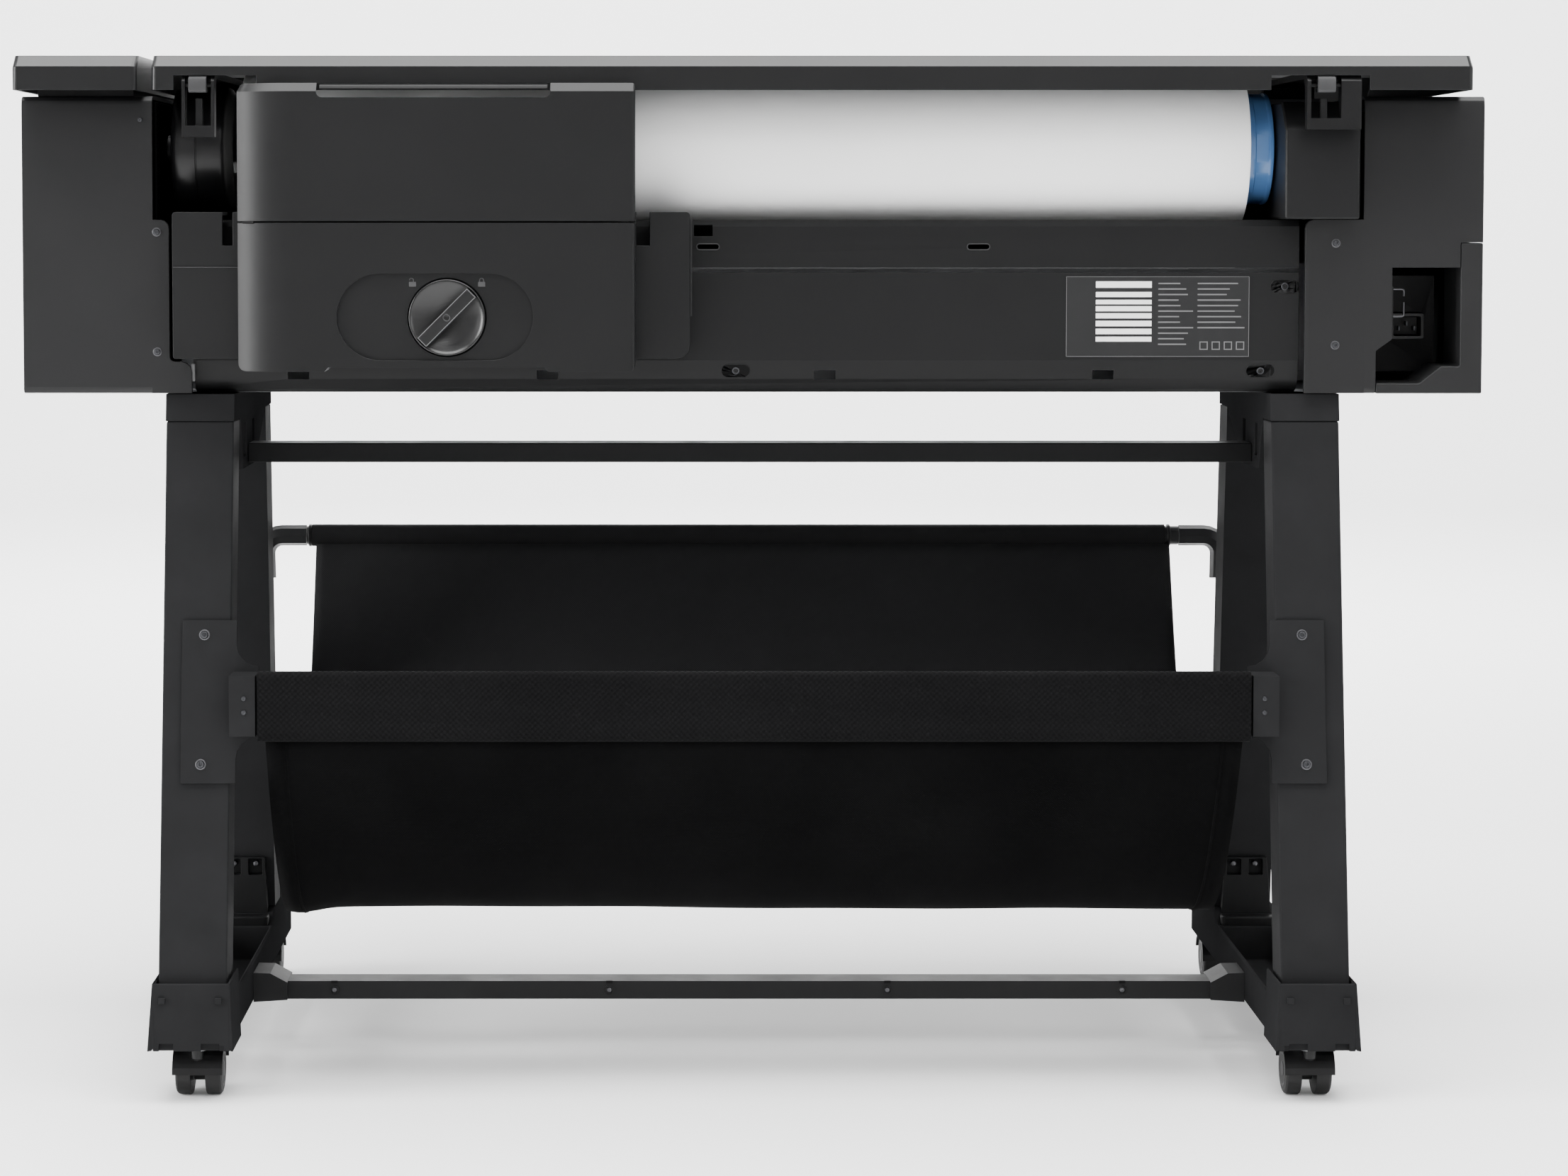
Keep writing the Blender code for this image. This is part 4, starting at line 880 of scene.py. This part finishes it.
def build_hub():
    """The blue stop: a grooved flange with grip lobes, and a tapered nose inside the core."""
    flange = turned_x("blue_flange", [
        (0.4503, 0.0300), (0.4503, 0.0502), (0.4509, 0.0512), (0.4530, 0.0515), (0.4570, 0.0515),
        (0.4576, 0.0511, 0.0002), (0.4582, 0.0505, 0.0006), (0.4690, 0.0505, 0.0006),
        (0.4696, 0.0511, 0.0002), (0.4702, 0.0515), (0.4722, 0.0515), (0.4736, 0.0509), (0.4744, 0.0494),
        (0.4746, 0.0440), (0.4732, 0.0425), (0.4732, 0.0290), (0.4746, 0.0270), (0.4746, 0.0130)],
        steps=240, lobes=9)
    finish_piece(flange, BLUE, "roll", ("spindle_hub",), angle=28)
    nose = turned_x("blue_nose", [
        (0.4504, 0.0378), (0.4290, 0.0376), (0.4262, 0.0368), (0.4252, 0.0350), (0.4252, 0.0130)], 96)
    finish_piece(nose, BLUE, "roll")
    for i in range(6):
        angle = math.tau * i / 6
        rib = block(f"blue_rib_{i}", (0.4728, -0.0012, 0.0285), (0.4744, 0.0012, 0.0430))
        rib.data.transform(Matrix.Translation((0.0, ROLL_Y, ROLL_Z)) @ Matrix.Rotation(angle, 4, "X"))
        edged_piece(rib, BLUE, "roll", 0.0003, 2)


def build_drum():
    """The left end of the spindle: a smooth bulged drum with a rim and one seam."""
    drum = turned_x("drum_shell", [
        (-0.4720, 0.0130), (-0.4720, 0.0480), (-0.4732, 0.0500), (-0.4752, 0.0514), (-0.4775, 0.0548),
        (-0.4800, 0.0566), (-0.4830, 0.0573), (-0.4900, 0.0579), (-0.5000, 0.0583), (-0.5040, 0.0584),
        (-0.5046, 0.0579), (-0.5052, 0.0579), (-0.5058, 0.0584), (-0.5120, 0.0583), (-0.5190, 0.0577),
        (-0.5230, 0.0571), (-0.5255, 0.0561), (-0.5272, 0.0548), (-0.5280, 0.0525), (-0.5280, 0.0440),
        (-0.5266, 0.0425), (-0.5266, 0.0260), (-0.5280, 0.0240), (-0.5280, 0.0130)], 160)
    finish_piece(drum, GLOSS_BLACK, "roll", ("spindle_drum",), angle=26)
    finish_piece(turned_x("shaft_tip", [
        (0.5186, 0.0122), (0.5194, 0.0110), (0.5196, 0.0)], 48), ROD, "roll")


build_feeder()
build_roll()
build_hub()
build_drum()


# ---------------------------------------------------------------- screws, label and trim

def small_block(name, low, high, material, edge):
    """A small block that rides on the body, with rounded edges."""
    edged_piece(block(name, low, high), material, "root", edge, 2)


def rear_screw(name, node, x, z, radius=0.0028, rim=RIM):
    spot, normal = face_behind(node, x, z)
    screw(name, spot, normal, radius, radius * 0.55, DARK_STEEL, rim)


def build_screws():
    """The screws of the end covers and of the bin's brackets."""
    for i, (node, x, z) in enumerate((
            ("end_cover_left", -0.5375, 0.775), ("end_cover_left", -0.5375, 0.667),
            ("end_cover_right", 0.5256, 0.765), ("end_cover_right", 0.5256, 0.673))):
        rear_screw(f"cover_screw_{i}", node, x, z)
    rear_screw("cover_screw_small", "end_cover_left", -0.5515, 0.876, 0.0022, None)
    for side, mark in SIDES:
        for i, (x, z) in enumerate(((0.4930, 0.4136), (0.4950, 0.2991))):
            rear_screw(f"bracket_screw_{mark}_{i}", f"bin_bracket_{mark}", side * x, z, 0.0034)
        for i, z in enumerate((0.3610, 0.3486)):
            rear_screw(f"arm_screw_{mark}_{i}", f"bin_bracket_{mark}", side * 0.4538, z, 0.0022, None)
        low, high = BOX[f"end_cover_{mark}"]
        radius, height = 0.0026, 0.0014
        for i, z in enumerate((0.890, 0.700, 0.668)):
            place = (high.x if side > 0 else low.x, -0.185 + 0.02 * i, min(z, high.z - 0.03))
            screw(f"side_screw_{mark}_{i}", place, (side, 0, 0), radius, height, DARK_STEEL, RIM)


def build_ring_screws():
    """Screws in shallow rings along the lower crossbar, each under a dark block on its top edge, painted
    shade in place of a notch.
    """
    for i, x in enumerate((-0.392, -0.132, 0.131, 0.353)):
        spot, _ = face_behind("lower_crossbar", x, 0.0586)
        ring = lathe(f"bar_ring_{i}", [(0.0, 0.0046), (0.0006, 0.0046), (0.0008, 0.0042), (0.0008, 0.0032),
                                       (0.0001, 0.0030)], spot, (0, -1, 0), steps=40)
        finish_piece(ring, BLACK, "root")
        screw(f"bar_screw_{i}", spot, (0, -1, 0), 0.0024, 0.0010, RIM)
        # A dark block on the bar's top edge in place of a cut notch: painted shade.
        notch = block(f"bar_notch_painted_shade_{i}", (x - 0.003, spot.y - 0.0003, 0.0648),
                      (x + 0.003, spot.y + 0.002, 0.0672))
        finish_piece(notch, SEAM_AND_PAINTED_SHADE, "root")


def build_foot_brackets():
    """A plate on the rear of each front leg's foot, with two deep pockets over a rounded ledge."""
    trapezium = ((0.4755, 0.0955), (0.5245, 0.0955), (0.5200, 0.1515), (0.4785, 0.1515))
    pocket_floor = 0.0035
    for side, mark in SIDES:
        place, _ = face_behind(f"front_leg_{mark}", side * 0.497, 0.118)
        depth = place.y
        base = plate(f"foot_plate_{mark}", "XZ", mirrored(side, trapezium), depth - 0.011, depth - 0.0005)
        for left in (0.4805, 0.5020):
            opening = round_rectangle(left, left + 0.0140, 0.1340, 0.1503, 0.0015)
            carve(base, plate("pocket", "XZ", mirrored(side, opening), depth - 0.02, depth - pocket_floor))
        edged_piece(cleaned(base), BAR, "root", 0.0010)
        for i, x in enumerate((0.4875, 0.5090)):
            bolt = lathe(f"foot_bolt_{mark}_{i}", [
                (0.0, 0.0030), (0.0030, 0.0030), (0.0044, 0.0024), (0.0050, 0.0012), (0.0051, 0.0)],
                (side * x, depth - pocket_floor, 0.1448), (0, -1, 0), steps=32)
            finish_piece(bolt, RIM, "root")
        outline = round_rectangle(0.4730, 0.5270, depth - 0.0270, depth + 0.002, 0.006, 6)
        ledge = plate(f"foot_ledge_{mark}", "XY", mirrored(side, outline), 0.0800, 0.0952)
        edged_piece(ledge, BAR, "root", 0.0025, 4)


def build_foot_caps():
    """The caps' flared side cheeks, two tabs at their top, and the notches in their lower edge."""
    for side, mark in SIDES:
        low, high = BOX[f"foot_cap_{mark}"]
        shell = bpy.data.objects[f"foot_cap_{mark}_shell"]
        shell.modifiers.clear()
        for inner, outer in ((0.4750, 0.4915), (0.5160, 0.5285)):
            left, right = sorted((side * inner, side * outer))
            carve(shell, block("notch", (left, low.y - CUT_MARGIN, low.z - CUT_MARGIN),
                               (right, low.y + 0.012, 0.0553)))
        edged_piece(cleaned(shell), FOOT, "root", 0.0005, 2)
        for end, inner, top, foot in (("out", 0.5318, 0.5345, 0.5392), ("in", 0.4682, 0.4655, 0.4630)):
            outline = mirrored(side, [
                (inner, 0.0560), (inner + (foot - inner) * 0.45, 0.0490), (foot, 0.0482),
                (top, 0.1092), ((top + inner) / 2, 0.1104), (inner, 0.1060)])
            cheek = plate(f"foot_cheek_{end}_{mark}", "XZ", outline, low.y + 0.0002, high.y - 0.004)
            edged_piece(cheek, FOOT, "root", 0.0005)
        for i, x in enumerate((0.4757, 0.5258)):
            small_block(f"foot_tab_{mark}_{i}", (side * x - 0.0031, low.y - 0.0025, 0.0911),
                        (side * x + 0.0031, low.y + 0.004, 0.0968), FOOT, 0.0006)


def build_hinge_clips():
    """The pale hook clip on each lid hinge, and the rib in the window under it."""
    for mark, left, right, rib, foot in (("left", -0.5014, -0.4858, -0.4935, 0.866),
                                         ("right", 0.4996, 0.5150, 0.5062, 0.872)):
        outline = [(-0.2612, 0.8985), (-0.2650, 0.8992), (-0.2662, 0.9010), (-0.2662, 0.9090),
                   (-0.2650, 0.9118), (-0.2615, 0.9131), (-0.2612, 0.9131)]
        clip = plate(f"hinge_clip_{mark}", "YZ", outline, left, right)
        edged_piece(clip, CLIP_AND_HIGHLIGHT, "lid", 0.0006)
        small_block(f"hinge_rib_{mark}", (rib - 0.0032, -0.2560, foot), (rib + 0.0032, -0.2520, 0.8940),
                    BODY, 0.0006)


def build_label():
    """A blank rating plate: thin border, plain white fields and grey lines in place of words."""
    left, right, low, high = 0.2836, 0.4491, 0.6623, 0.7348
    half_width, half_height = (right - left) / 2, (high - low) / 2
    border, half_line, core_inset = 0.0004, 0.0006, 0.0009
    under, over, top = 0.00030, 0.00036, 0.00042
    place = laid_on(*face_behind("rear_panel_lower", (left + right) / 2, (low + high) / 2))

    def film(name, u0, u1, w0, w1, lift, material):
        piece = plate(name, "XZ", rectangle(u0, u1, w0, w1), -lift, -lift + 0.00006)
        piece.data.transform(place)
        finish_piece(piece, material, "root")

    film("label_film", -half_width, half_width, -half_height, half_height, under, LABEL)
    for i, edges in enumerate((
            (-half_width, half_width, half_height - border, half_height),
            (-half_width, half_width, -half_height, -half_height + border),
            (-half_width, -half_width + border, -half_height, half_height),
            (half_width - border, half_width, -half_height, half_height))):
        film(f"label_border_{i}", *edges, over, PRINT_AND_HIGHLIGHT)
    fields = [(0.0290, 0.0058), (0.0200, 0.0046), (0.0132, 0.0040), (0.0072, 0.0046), (0.0008, 0.0046),
              (-0.0062, 0.0050), (-0.0134, 0.0050), (-0.0204, 0.0044)]
    for i, (w, tall) in enumerate(fields):
        film(f"label_field_{i}", -0.0560, -0.0055, w - tall / 2, w + tall / 2, over, WHITE)
    draw = np.random.default_rng(11)
    for column, (u0, u1, rows) in enumerate(((0.0005, 0.0330, 12), (0.0360, 0.0790, 9))):
        for row in range(rows):
            w = 0.0300 - 0.0050 * row
            end = u0 + (u1 - u0) * float(draw.uniform(0.55, 1.0))
            film(f"label_line_{column}_{row}", u0, end, w - half_line, w + half_line, over, PRINT_AND_HIGHLIGHT)
    for i in range(4):
        u0, u1, w0, w1 = 0.0380 + 0.0110 * i, 0.0455 + 0.0110 * i, -0.0300, -0.0225
        film(f"label_square_{i}", u0, u1, w0, w1, over, PRINT_AND_HIGHLIGHT)
        film(f"label_square_core_{i}", u0 + core_inset, u1 - core_inset, w0 + core_inset, w1 - core_inset,
             top, LABEL)


def build_ovals():
    """Oval recess rings on the lower panel, each with a flat dark floor of painted shade and a screw."""
    outer, inner = (stadium((0.0, 0.0), 0.0068, radius, 14) for radius in (0.0063, 0.0057))
    for i, (x, z) in enumerate(((-0.0152, 0.6495), (0.4600, 0.6495), (0.4811, 0.7258))):
        spot, normal = face_behind("rear_panel_lower", x, z)
        # A flat dark floor in each oval: painted shade for the recess.
        dish = plate(f"oval_floor_painted_shade_{i}", "XZ", inner, -0.0005, 0.0002)
        dish.data.transform(laid_on(spot, normal))
        finish_piece(dish, SEAM_AND_PAINTED_SHADE, "root")
        rim = pierced(f"oval_rim_{i}", "XZ", outer, inner, -0.0007, 0.0004)
        rim.data.transform(laid_on(spot, normal))
        edged_piece(rim, COVER_AND_HIGHLIGHT, "root", 0.0003, 2)
        screw(f"oval_screw_{i}", spot + normal * 0.0005, normal, 0.0023, 0.0010, BLACK, DARK_STEEL)


def build_panel_details():
    """Slot rims, seams, clips, and edge strips coloured paler as painted highlights, on the rear of the
    machine.
    """
    face = BOX["rear_panel_upper"][0].y
    for i, x in enumerate((-0.0404, 0.2041)):
        outer, inner = (stadium((x, 0.7617), 0.0075, radius, 14) for radius in (0.0032, 0.0022))
        rim = pierced(f"slot_rim_{i}", "XZ", outer, inner, face - 0.0005, face + 0.0004)
        edged_piece(rim, CLIP_AND_HIGHLIGHT, "root", 0.0002, 2)
    seam = block("housing_seam", (-0.5185, -0.2502, 0.7441), (-0.4590, -0.2496, 0.7449))
    finish_piece(seam, SEAM_AND_PAINTED_SHADE, "root")
    # A pale strip just under the housing seam: a painted highlight on the seam's lower lip.
    small_block("housing_seam_painted_highlight", (-0.5185, -0.25045, 0.7434), (-0.4590, -0.2498, 0.7441), CLIP_AND_HIGHLIGHT, 0.0002)
    # Thin lips along the seam between the upper and lower panels, coloured paler: a painted highlight.
    for i, (start, end, material) in enumerate(((-0.0540, 0.4360, CLIP_AND_HIGHLIGHT), (0.4360, 0.4930, COVER_AND_HIGHLIGHT))):
        small_block(f"panel_edge_painted_highlight_{i}", (start, face - 0.0005, 0.7420), (end, face + 0.0010, 0.7429),
                    material, 0.0002)
    small_block("bracket_strip", (-0.0570, -0.2480, 0.7000), (-0.0550, -0.2140, 0.7880), COVER_AND_HIGHLIGHT, 0.0004)
    for i, path in enumerate((
            [(0.5790, 0.7233), (0.5885, 0.7233), (0.5900, 0.7228), (0.5905, 0.7215), (0.5905, 0.7168)],
            [(0.5905, 0.7114), (0.5905, 0.7002), (0.5900, 0.6989), (0.5885, 0.6984), (0.5790, 0.6984)])):
        clip = tube(f"wire_clip_{i}", [(x, -0.2020, z) for x, z in path], 0.0010, 12)
        finish_piece(clip, RIM, "root")
    small_block("wire_clip_seat", (0.5765, -0.2060, 0.6960), (0.5805, -0.1980, 0.7260), BLACK, 0.0006)
    small_block("left_cover_clip", (-0.5080, -0.2145, 0.6400), (-0.5045, -0.2100, 0.6560), PRINT_AND_HIGHLIGHT, 0.0006)


def build_inlet():
    """The three-blade mains inlet in the connector bay."""
    rear = BOX["power_supply"][0].y
    x, z, half_width, half_height, wall = 0.6055, 0.6880, 0.0125, 0.0090, 0.003
    outer, inner = (
        round_rectangle(x - half_width - grow, x + half_width + grow,
                        z - half_height - grow, z + half_height + grow, radius)
        for grow, radius in ((wall, 0.002), (0.0, 0.0015)))
    surround = pierced("inlet_frame", "XZ", outer, inner, rear - 0.0022, rear + 0.0005)
    edged_piece(surround, GLOSS_BLACK, "root", 0.0005, 2)
    for i, (u, w) in enumerate(((-0.007, -0.002), (0.0, 0.0025), (0.007, -0.002))):
        small_block(f"inlet_blade_{i}", (x + u - 0.0009, rear - 0.0004, z + w - 0.002),
                    (x + u + 0.0009, rear + 0.008, z + w + 0.002), DARK_STEEL, 0.0003)


def build_casters():
    """The wheels' discs and each stem's steel collar, and a boss on the rear forks."""
    for end, stem_y in (("rear", -0.272), ("front", 0.205)):
        for _, mark in SIDES:
            wheels, fork = f"caster_wheels_{end}_{mark}", f"caster_fork_{end}_{mark}"
            low, high = BOX[wheels]
            middle = MIDDLE[wheels]
            for face, x, where in ((-1, low.x, "in"), (1, high.x, "out")):
                disc = lathe(f"wheel_disc_{end}_{mark}_{where}", [
                    (-0.0005, 0.0162), (0.0003, 0.0160), (0.0005, 0.0150), (0.0001, 0.0138),
                    (-0.0004, 0.0110), (-0.0004, 0.0075), (0.0004, 0.0066), (0.0006, 0.0040), (0.0003, 0.0)],
                    (x, middle.y, middle.z), (face, 0, 0), steps=48)
                finish_piece(disc, COVER_AND_HIGHLIGHT, BODY_OF[wheels])
            collar = lathe(f"caster_collar_{end}_{mark}", [
                (0.0, 0.0090), (0.0, 0.0130), (0.0008, 0.0136), (0.0022, 0.0136), (0.0028, 0.0128),
                (0.0028, 0.0090)], (MIDDLE[fork].x, stem_y, 0.0445), (0, 0, 1), steps=48)
            finish_piece(collar, ZINC, BODY_OF[fork])
            if end == "rear":
                boss = lathe(f"caster_boss_{mark}", [
                    (0.0, 0.0), (0.0010, 0.0030), (0.0030, 0.0050), (0.0120, 0.0054), (0.0125, 0.0)],
                    (MIDDLE[fork].x, BOX[fork][0].y + 0.0030, 0.0345), (0, 0, 1), steps=40)
                finish_piece(boss, COVER_AND_HIGHLIGHT, BODY_OF[fork])


build_screws()
build_ring_screws()
build_foot_brackets()
build_foot_caps()
build_hinge_clips()
build_label()
build_ovals()
build_panel_details()
build_inlet()
build_casters()


# ---------------------------------------------------------------- the bin's cloth

BIN_SIDE = 0.4355
REAR_EDGE = Vector((0.0, -0.2752, 0.3225))
FRONT_EDGE = Vector((0.0, 0.1838, 0.4570))
BIN_HEART = Vector((0.0, -0.03, 0.45))
SAG = 0.250
COLUMNS, ROWS = 96, 84
HEM_COLUMNS = 2
SLEEVE_STEPS = 150
SLING_THICKNESS, HEM_THICKNESS, SLEEVE_THICKNESS = 0.0009, 0.0007, 0.0008
HEM_LIFT, SEAM_LIFT, SEAM_INSET, SEAM_RADIUS = -0.0008, -0.0013, 0.002, 0.00035
FIRST_FRAME, LAST_FRAME = 1, 45


def hanging_start(u):
    """One lengthwise line of the sling before it settles, u from -1 at the left to 1."""
    sag = SAG * (1.0 + 0.007 * u + 0.022 * math.exp(-((u + 0.97) / 0.05) ** 2)
                 + 0.0022 * math.sin(5.3 * u + 0.6) + 0.0012 * math.sin(14.1 * u + 1.9))
    line = []
    for i in range(ROWS + 1):
        t = i / ROWS
        spot = REAR_EDGE.lerp(FRONT_EDGE, t)
        line.append(Vector((0.0, spot.y, spot.z - 4 * sag * t * (1 - t))))
    return line


def grid_piece(name, rows, material, thickness=0.0, wrap=False):
    """A sheet through rows of points, with UVs in metres along it and across it."""
    rows = [[Vector(p) for p in row] for row in rows]
    across, down = len(rows[0]), len(rows)
    count = down if wrap else down - 1
    faces = []
    for r in range(count):
        here, there = r * across, (r + 1) % down * across
        faces += [(here + c, here + c + 1, there + c + 1, there + c) for c in range(across - 1)]
    mesh = bpy.data.meshes.new(name)
    mesh.from_pydata([p for row in rows for p in row], [], faces)
    layer = mesh.uv_layers.new(name="metres")
    step = [0.0]
    middle = across // 2
    for r in range(1, down + 1):
        step.append(step[-1] + (rows[r % down][middle] - rows[r - 1][middle]).length)
    for polygon in mesh.polygons:
        r = polygon.vertices[0] // across
        for loop, vertex in zip(polygon.loop_indices, polygon.vertices):
            row = vertex // across
            along = step[r + 1] if row != r else step[r]
            layer.data[loop].uv = (mesh.vertices[vertex].co.x, along)
    mesh.materials.append(material)
    mesh.shade_smooth()
    obj = link(bpy.data.objects.new(name, mesh))
    if thickness:
        modifier = obj.modifiers.new("cloth", "SOLIDIFY")
        modifier.thickness = thickness
        modifier.offset = 0.0
        evaluated(obj)
    return obj


def settled_rows():
    """The sling's points after it has hung from its two edges for a while."""
    rows = [[] for _ in range(ROWS + 1)]
    for c in range(COLUMNS + 1):
        u = 2 * c / COLUMNS - 1
        for r, spot in enumerate(hanging_start(u)):
            rows[r].append((BIN_SIDE * u, spot.y, spot.z))
    sheet = grid_piece("sling_simulation", rows, CLOTH)
    edges = sheet.vertex_groups.new(name="held")
    across = COLUMNS + 1
    edges.add([row * across + c for row in (0, ROWS) for c in range(across)], 1.0, "REPLACE")
    cloth = sheet.modifiers.new("hang", "CLOTH")
    settings = cloth.settings
    settings.quality = 10
    settings.mass = 0.25
    settings.air_damping = 4.0
    settings.tension_stiffness = settings.compression_stiffness = 80.0
    settings.shear_stiffness = 30.0
    settings.bending_stiffness = 0.8
    settings.tension_damping = settings.compression_damping = 20.0
    settings.vertex_group_mass = "held"
    cloth.collision_settings.use_collision = False
    scene = bpy.context.scene
    cloth.point_cache.frame_start, cloth.point_cache.frame_end = FIRST_FRAME, LAST_FRAME
    for number in range(FIRST_FRAME, LAST_FRAME + 1):
        scene.frame_set(number)
    evaluated(sheet)
    scene.frame_set(FIRST_FRAME)
    points = [v.co.copy() for v in sheet.data.vertices]
    bpy.data.objects.remove(sheet)
    return [points[r * across:(r + 1) * across] for r in range(ROWS + 1)]


def offset_rows(rows, columns, lift):
    """Some of a sheet's columns, moved a little along the sheet's own normal."""
    moved = []
    for r, row in enumerate(rows):
        before, after = rows[max(r - 1, 0)], rows[min(r + 1, len(rows) - 1)]
        line = []
        for c in columns:
            along = Vector(after[c]) - Vector(before[c])
            normal = Vector((0.0, -along.z, along.y)).normalized()
            line.append(Vector(row[c]) + lift * normal)
        moved.append(line)
    return moved


def build_sling():
    """The sling with a hem and a seam down each side. Its inward faces take a lighter cloth, painted light
    for the light that falls inside the sling.
    """
    rows = settled_rows()
    sling = grid_piece("bin_cloth", rows, CLOTH, SLING_THICKNESS)
    extras = []
    for mark, first in (("left", 0), ("right", COLUMNS - HEM_COLUMNS)):
        hem = offset_rows(rows, range(first, first + HEM_COLUMNS + 1), HEM_LIFT)
        extras.append(grid_piece(f"bin_hem_{mark}", hem, CLOTH, HEM_THICKNESS))
    for (side, mark), column in zip(SIDES, (HEM_COLUMNS, COLUMNS - HEM_COLUMNS)):
        line = offset_rows(rows, [column], SEAM_LIFT)
        seam = tube(f"bin_hem_seam_{mark}", [row[0] + Vector((side * SEAM_INSET, 0.0, 0.0)) for row in line],
                    SEAM_RADIUS, 6)
        seam.data.materials.append(CLOTH)
        extras.append(seam)
    # Inward faces get the lighter cloth, painted light for the light inside the sling.
    for piece in (sling, *extras):
        piece.data.materials.append(LIT_INSIDE_CLOTH)
        for polygon in piece.data.polygons:
            inward = BIN_HEART - Vector((0.0, polygon.center.y, polygon.center.z))
            polygon.material_index = int(polygon.normal.dot(inward) > 0.0)
        piece.data.shade_smooth()
        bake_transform(piece)
    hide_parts("bin_sling")
    return sling, extras


def sleeve_rows(outline, left, right, wobble):
    """Rows round a closed outline, swept from left to right with the cloth a little slack."""
    rows = []
    for k, (y, z, slack) in enumerate(outline):
        row = []
        for i in range(SLEEVE_STEPS + 1):
            x = left + (right - left) * i / SLEEVE_STEPS
            ease = wobble * slack * (math.sin(9.7 * x + 0.7 * k) + 0.6 * math.sin(23.0 * x + 1.3 * k)
                                     + 0.5 * math.sin(51.0 * x + 2.1 * k))
            row.append((x, y - ease, z))
        rows.append(row)
    return rows


def build_rear_sleeve():
    """The cloth round the rear bar: flat faces, rounded edges and a fuller lower hem."""
    low, high = BOX["bin_rear_bar"]
    left, right = low.x + 0.001, high.x - 0.001
    back, front = low.y - 0.0014, high.y + 0.0012
    bottom, top = low.z - 0.0012, high.z + 0.0012
    middle, flat_height = (back + front) / 2, top - bottom - 0.006
    outline = []
    for i in range(15):
        t = i / 14
        fuller = 0.0010 * math.exp(-((t - 0.12) / 0.09) ** 2)
        outline.append((back - fuller, bottom + 0.003 + flat_height * t, 0.2 + 0.8 * math.sin(math.pi * t)))
    outline += [(back + 0.0012, top - 0.0010, 0.1), (middle, top, 0.0), (front - 0.0012, top - 0.0010, 0.1)]
    outline += [(front, top - 0.003 - flat_height * i / 8, 0.3) for i in range(9)]
    outline += [(front - 0.0012, bottom + 0.0010, 0.1), (middle, bottom, 0.0),
                (back + 0.0012, bottom + 0.0010, 0.1)]
    rows = sleeve_rows(outline, left, right, 0.00035)
    sleeve = grid_piece("rear_bar_sleeve", rows, SLEEVE, SLEEVE_THICKNESS, wrap=True)
    finish_piece(sleeve, SLEEVE, "root", angle=60)
    for i, z in enumerate((bottom + 0.0105, bottom + 0.0125)):
        path = [(left + (right - left) * k / 200, back - 0.0007, z) for k in range(201)]
        seam = tube(f"rear_sleeve_stitch_{i}", path, 0.0003, 6)
        finish_piece(seam, SLEEVE, "root")
    return sleeve


def build_front_sleeve():
    """The cloth round the front tube, a few millimetres short of the tube's elbows."""
    y, z, radius = 0.190, 0.4635, 0.0107
    left, right, steps = -0.4400, 0.4310, 28
    outline = []
    for k in range(steps):
        angle = -math.tau * k / steps
        outline.append((y + radius * math.cos(angle), z + radius * math.sin(angle), 0.6))
    rows = sleeve_rows(outline, left, right, 0.00030)
    # The front sleeve's paler cloth is a painted sheen.
    sleeve = grid_piece("front_tube_sleeve", rows, FRONT_SLEEVE_SHEEN, SLEEVE_THICKNESS, wrap=True)
    finish_piece(sleeve, FRONT_SLEEVE_SHEEN, "bin_frame", angle=60)
    for mark, x in (("left", left - 0.0020), ("right", right + 0.0040)):
        ring = lathe(f"tube_ring_{mark}", [
            (-0.0015, 0.0096), (-0.0015, 0.0108), (-0.0009, 0.0113), (0.0009, 0.0113),
            (0.0015, 0.0108), (0.0015, 0.0096)], (x, y, z), (1, 0, 0), 48)
        finish_piece(ring, BLACK, "bin_frame")
    return sleeve


def build_bin():
    """The two bars' sleeves, and the sling that hangs from them."""
    rear = build_rear_sleeve()
    front = build_front_sleeve()
    sling, extras = build_sling()


build_bin()
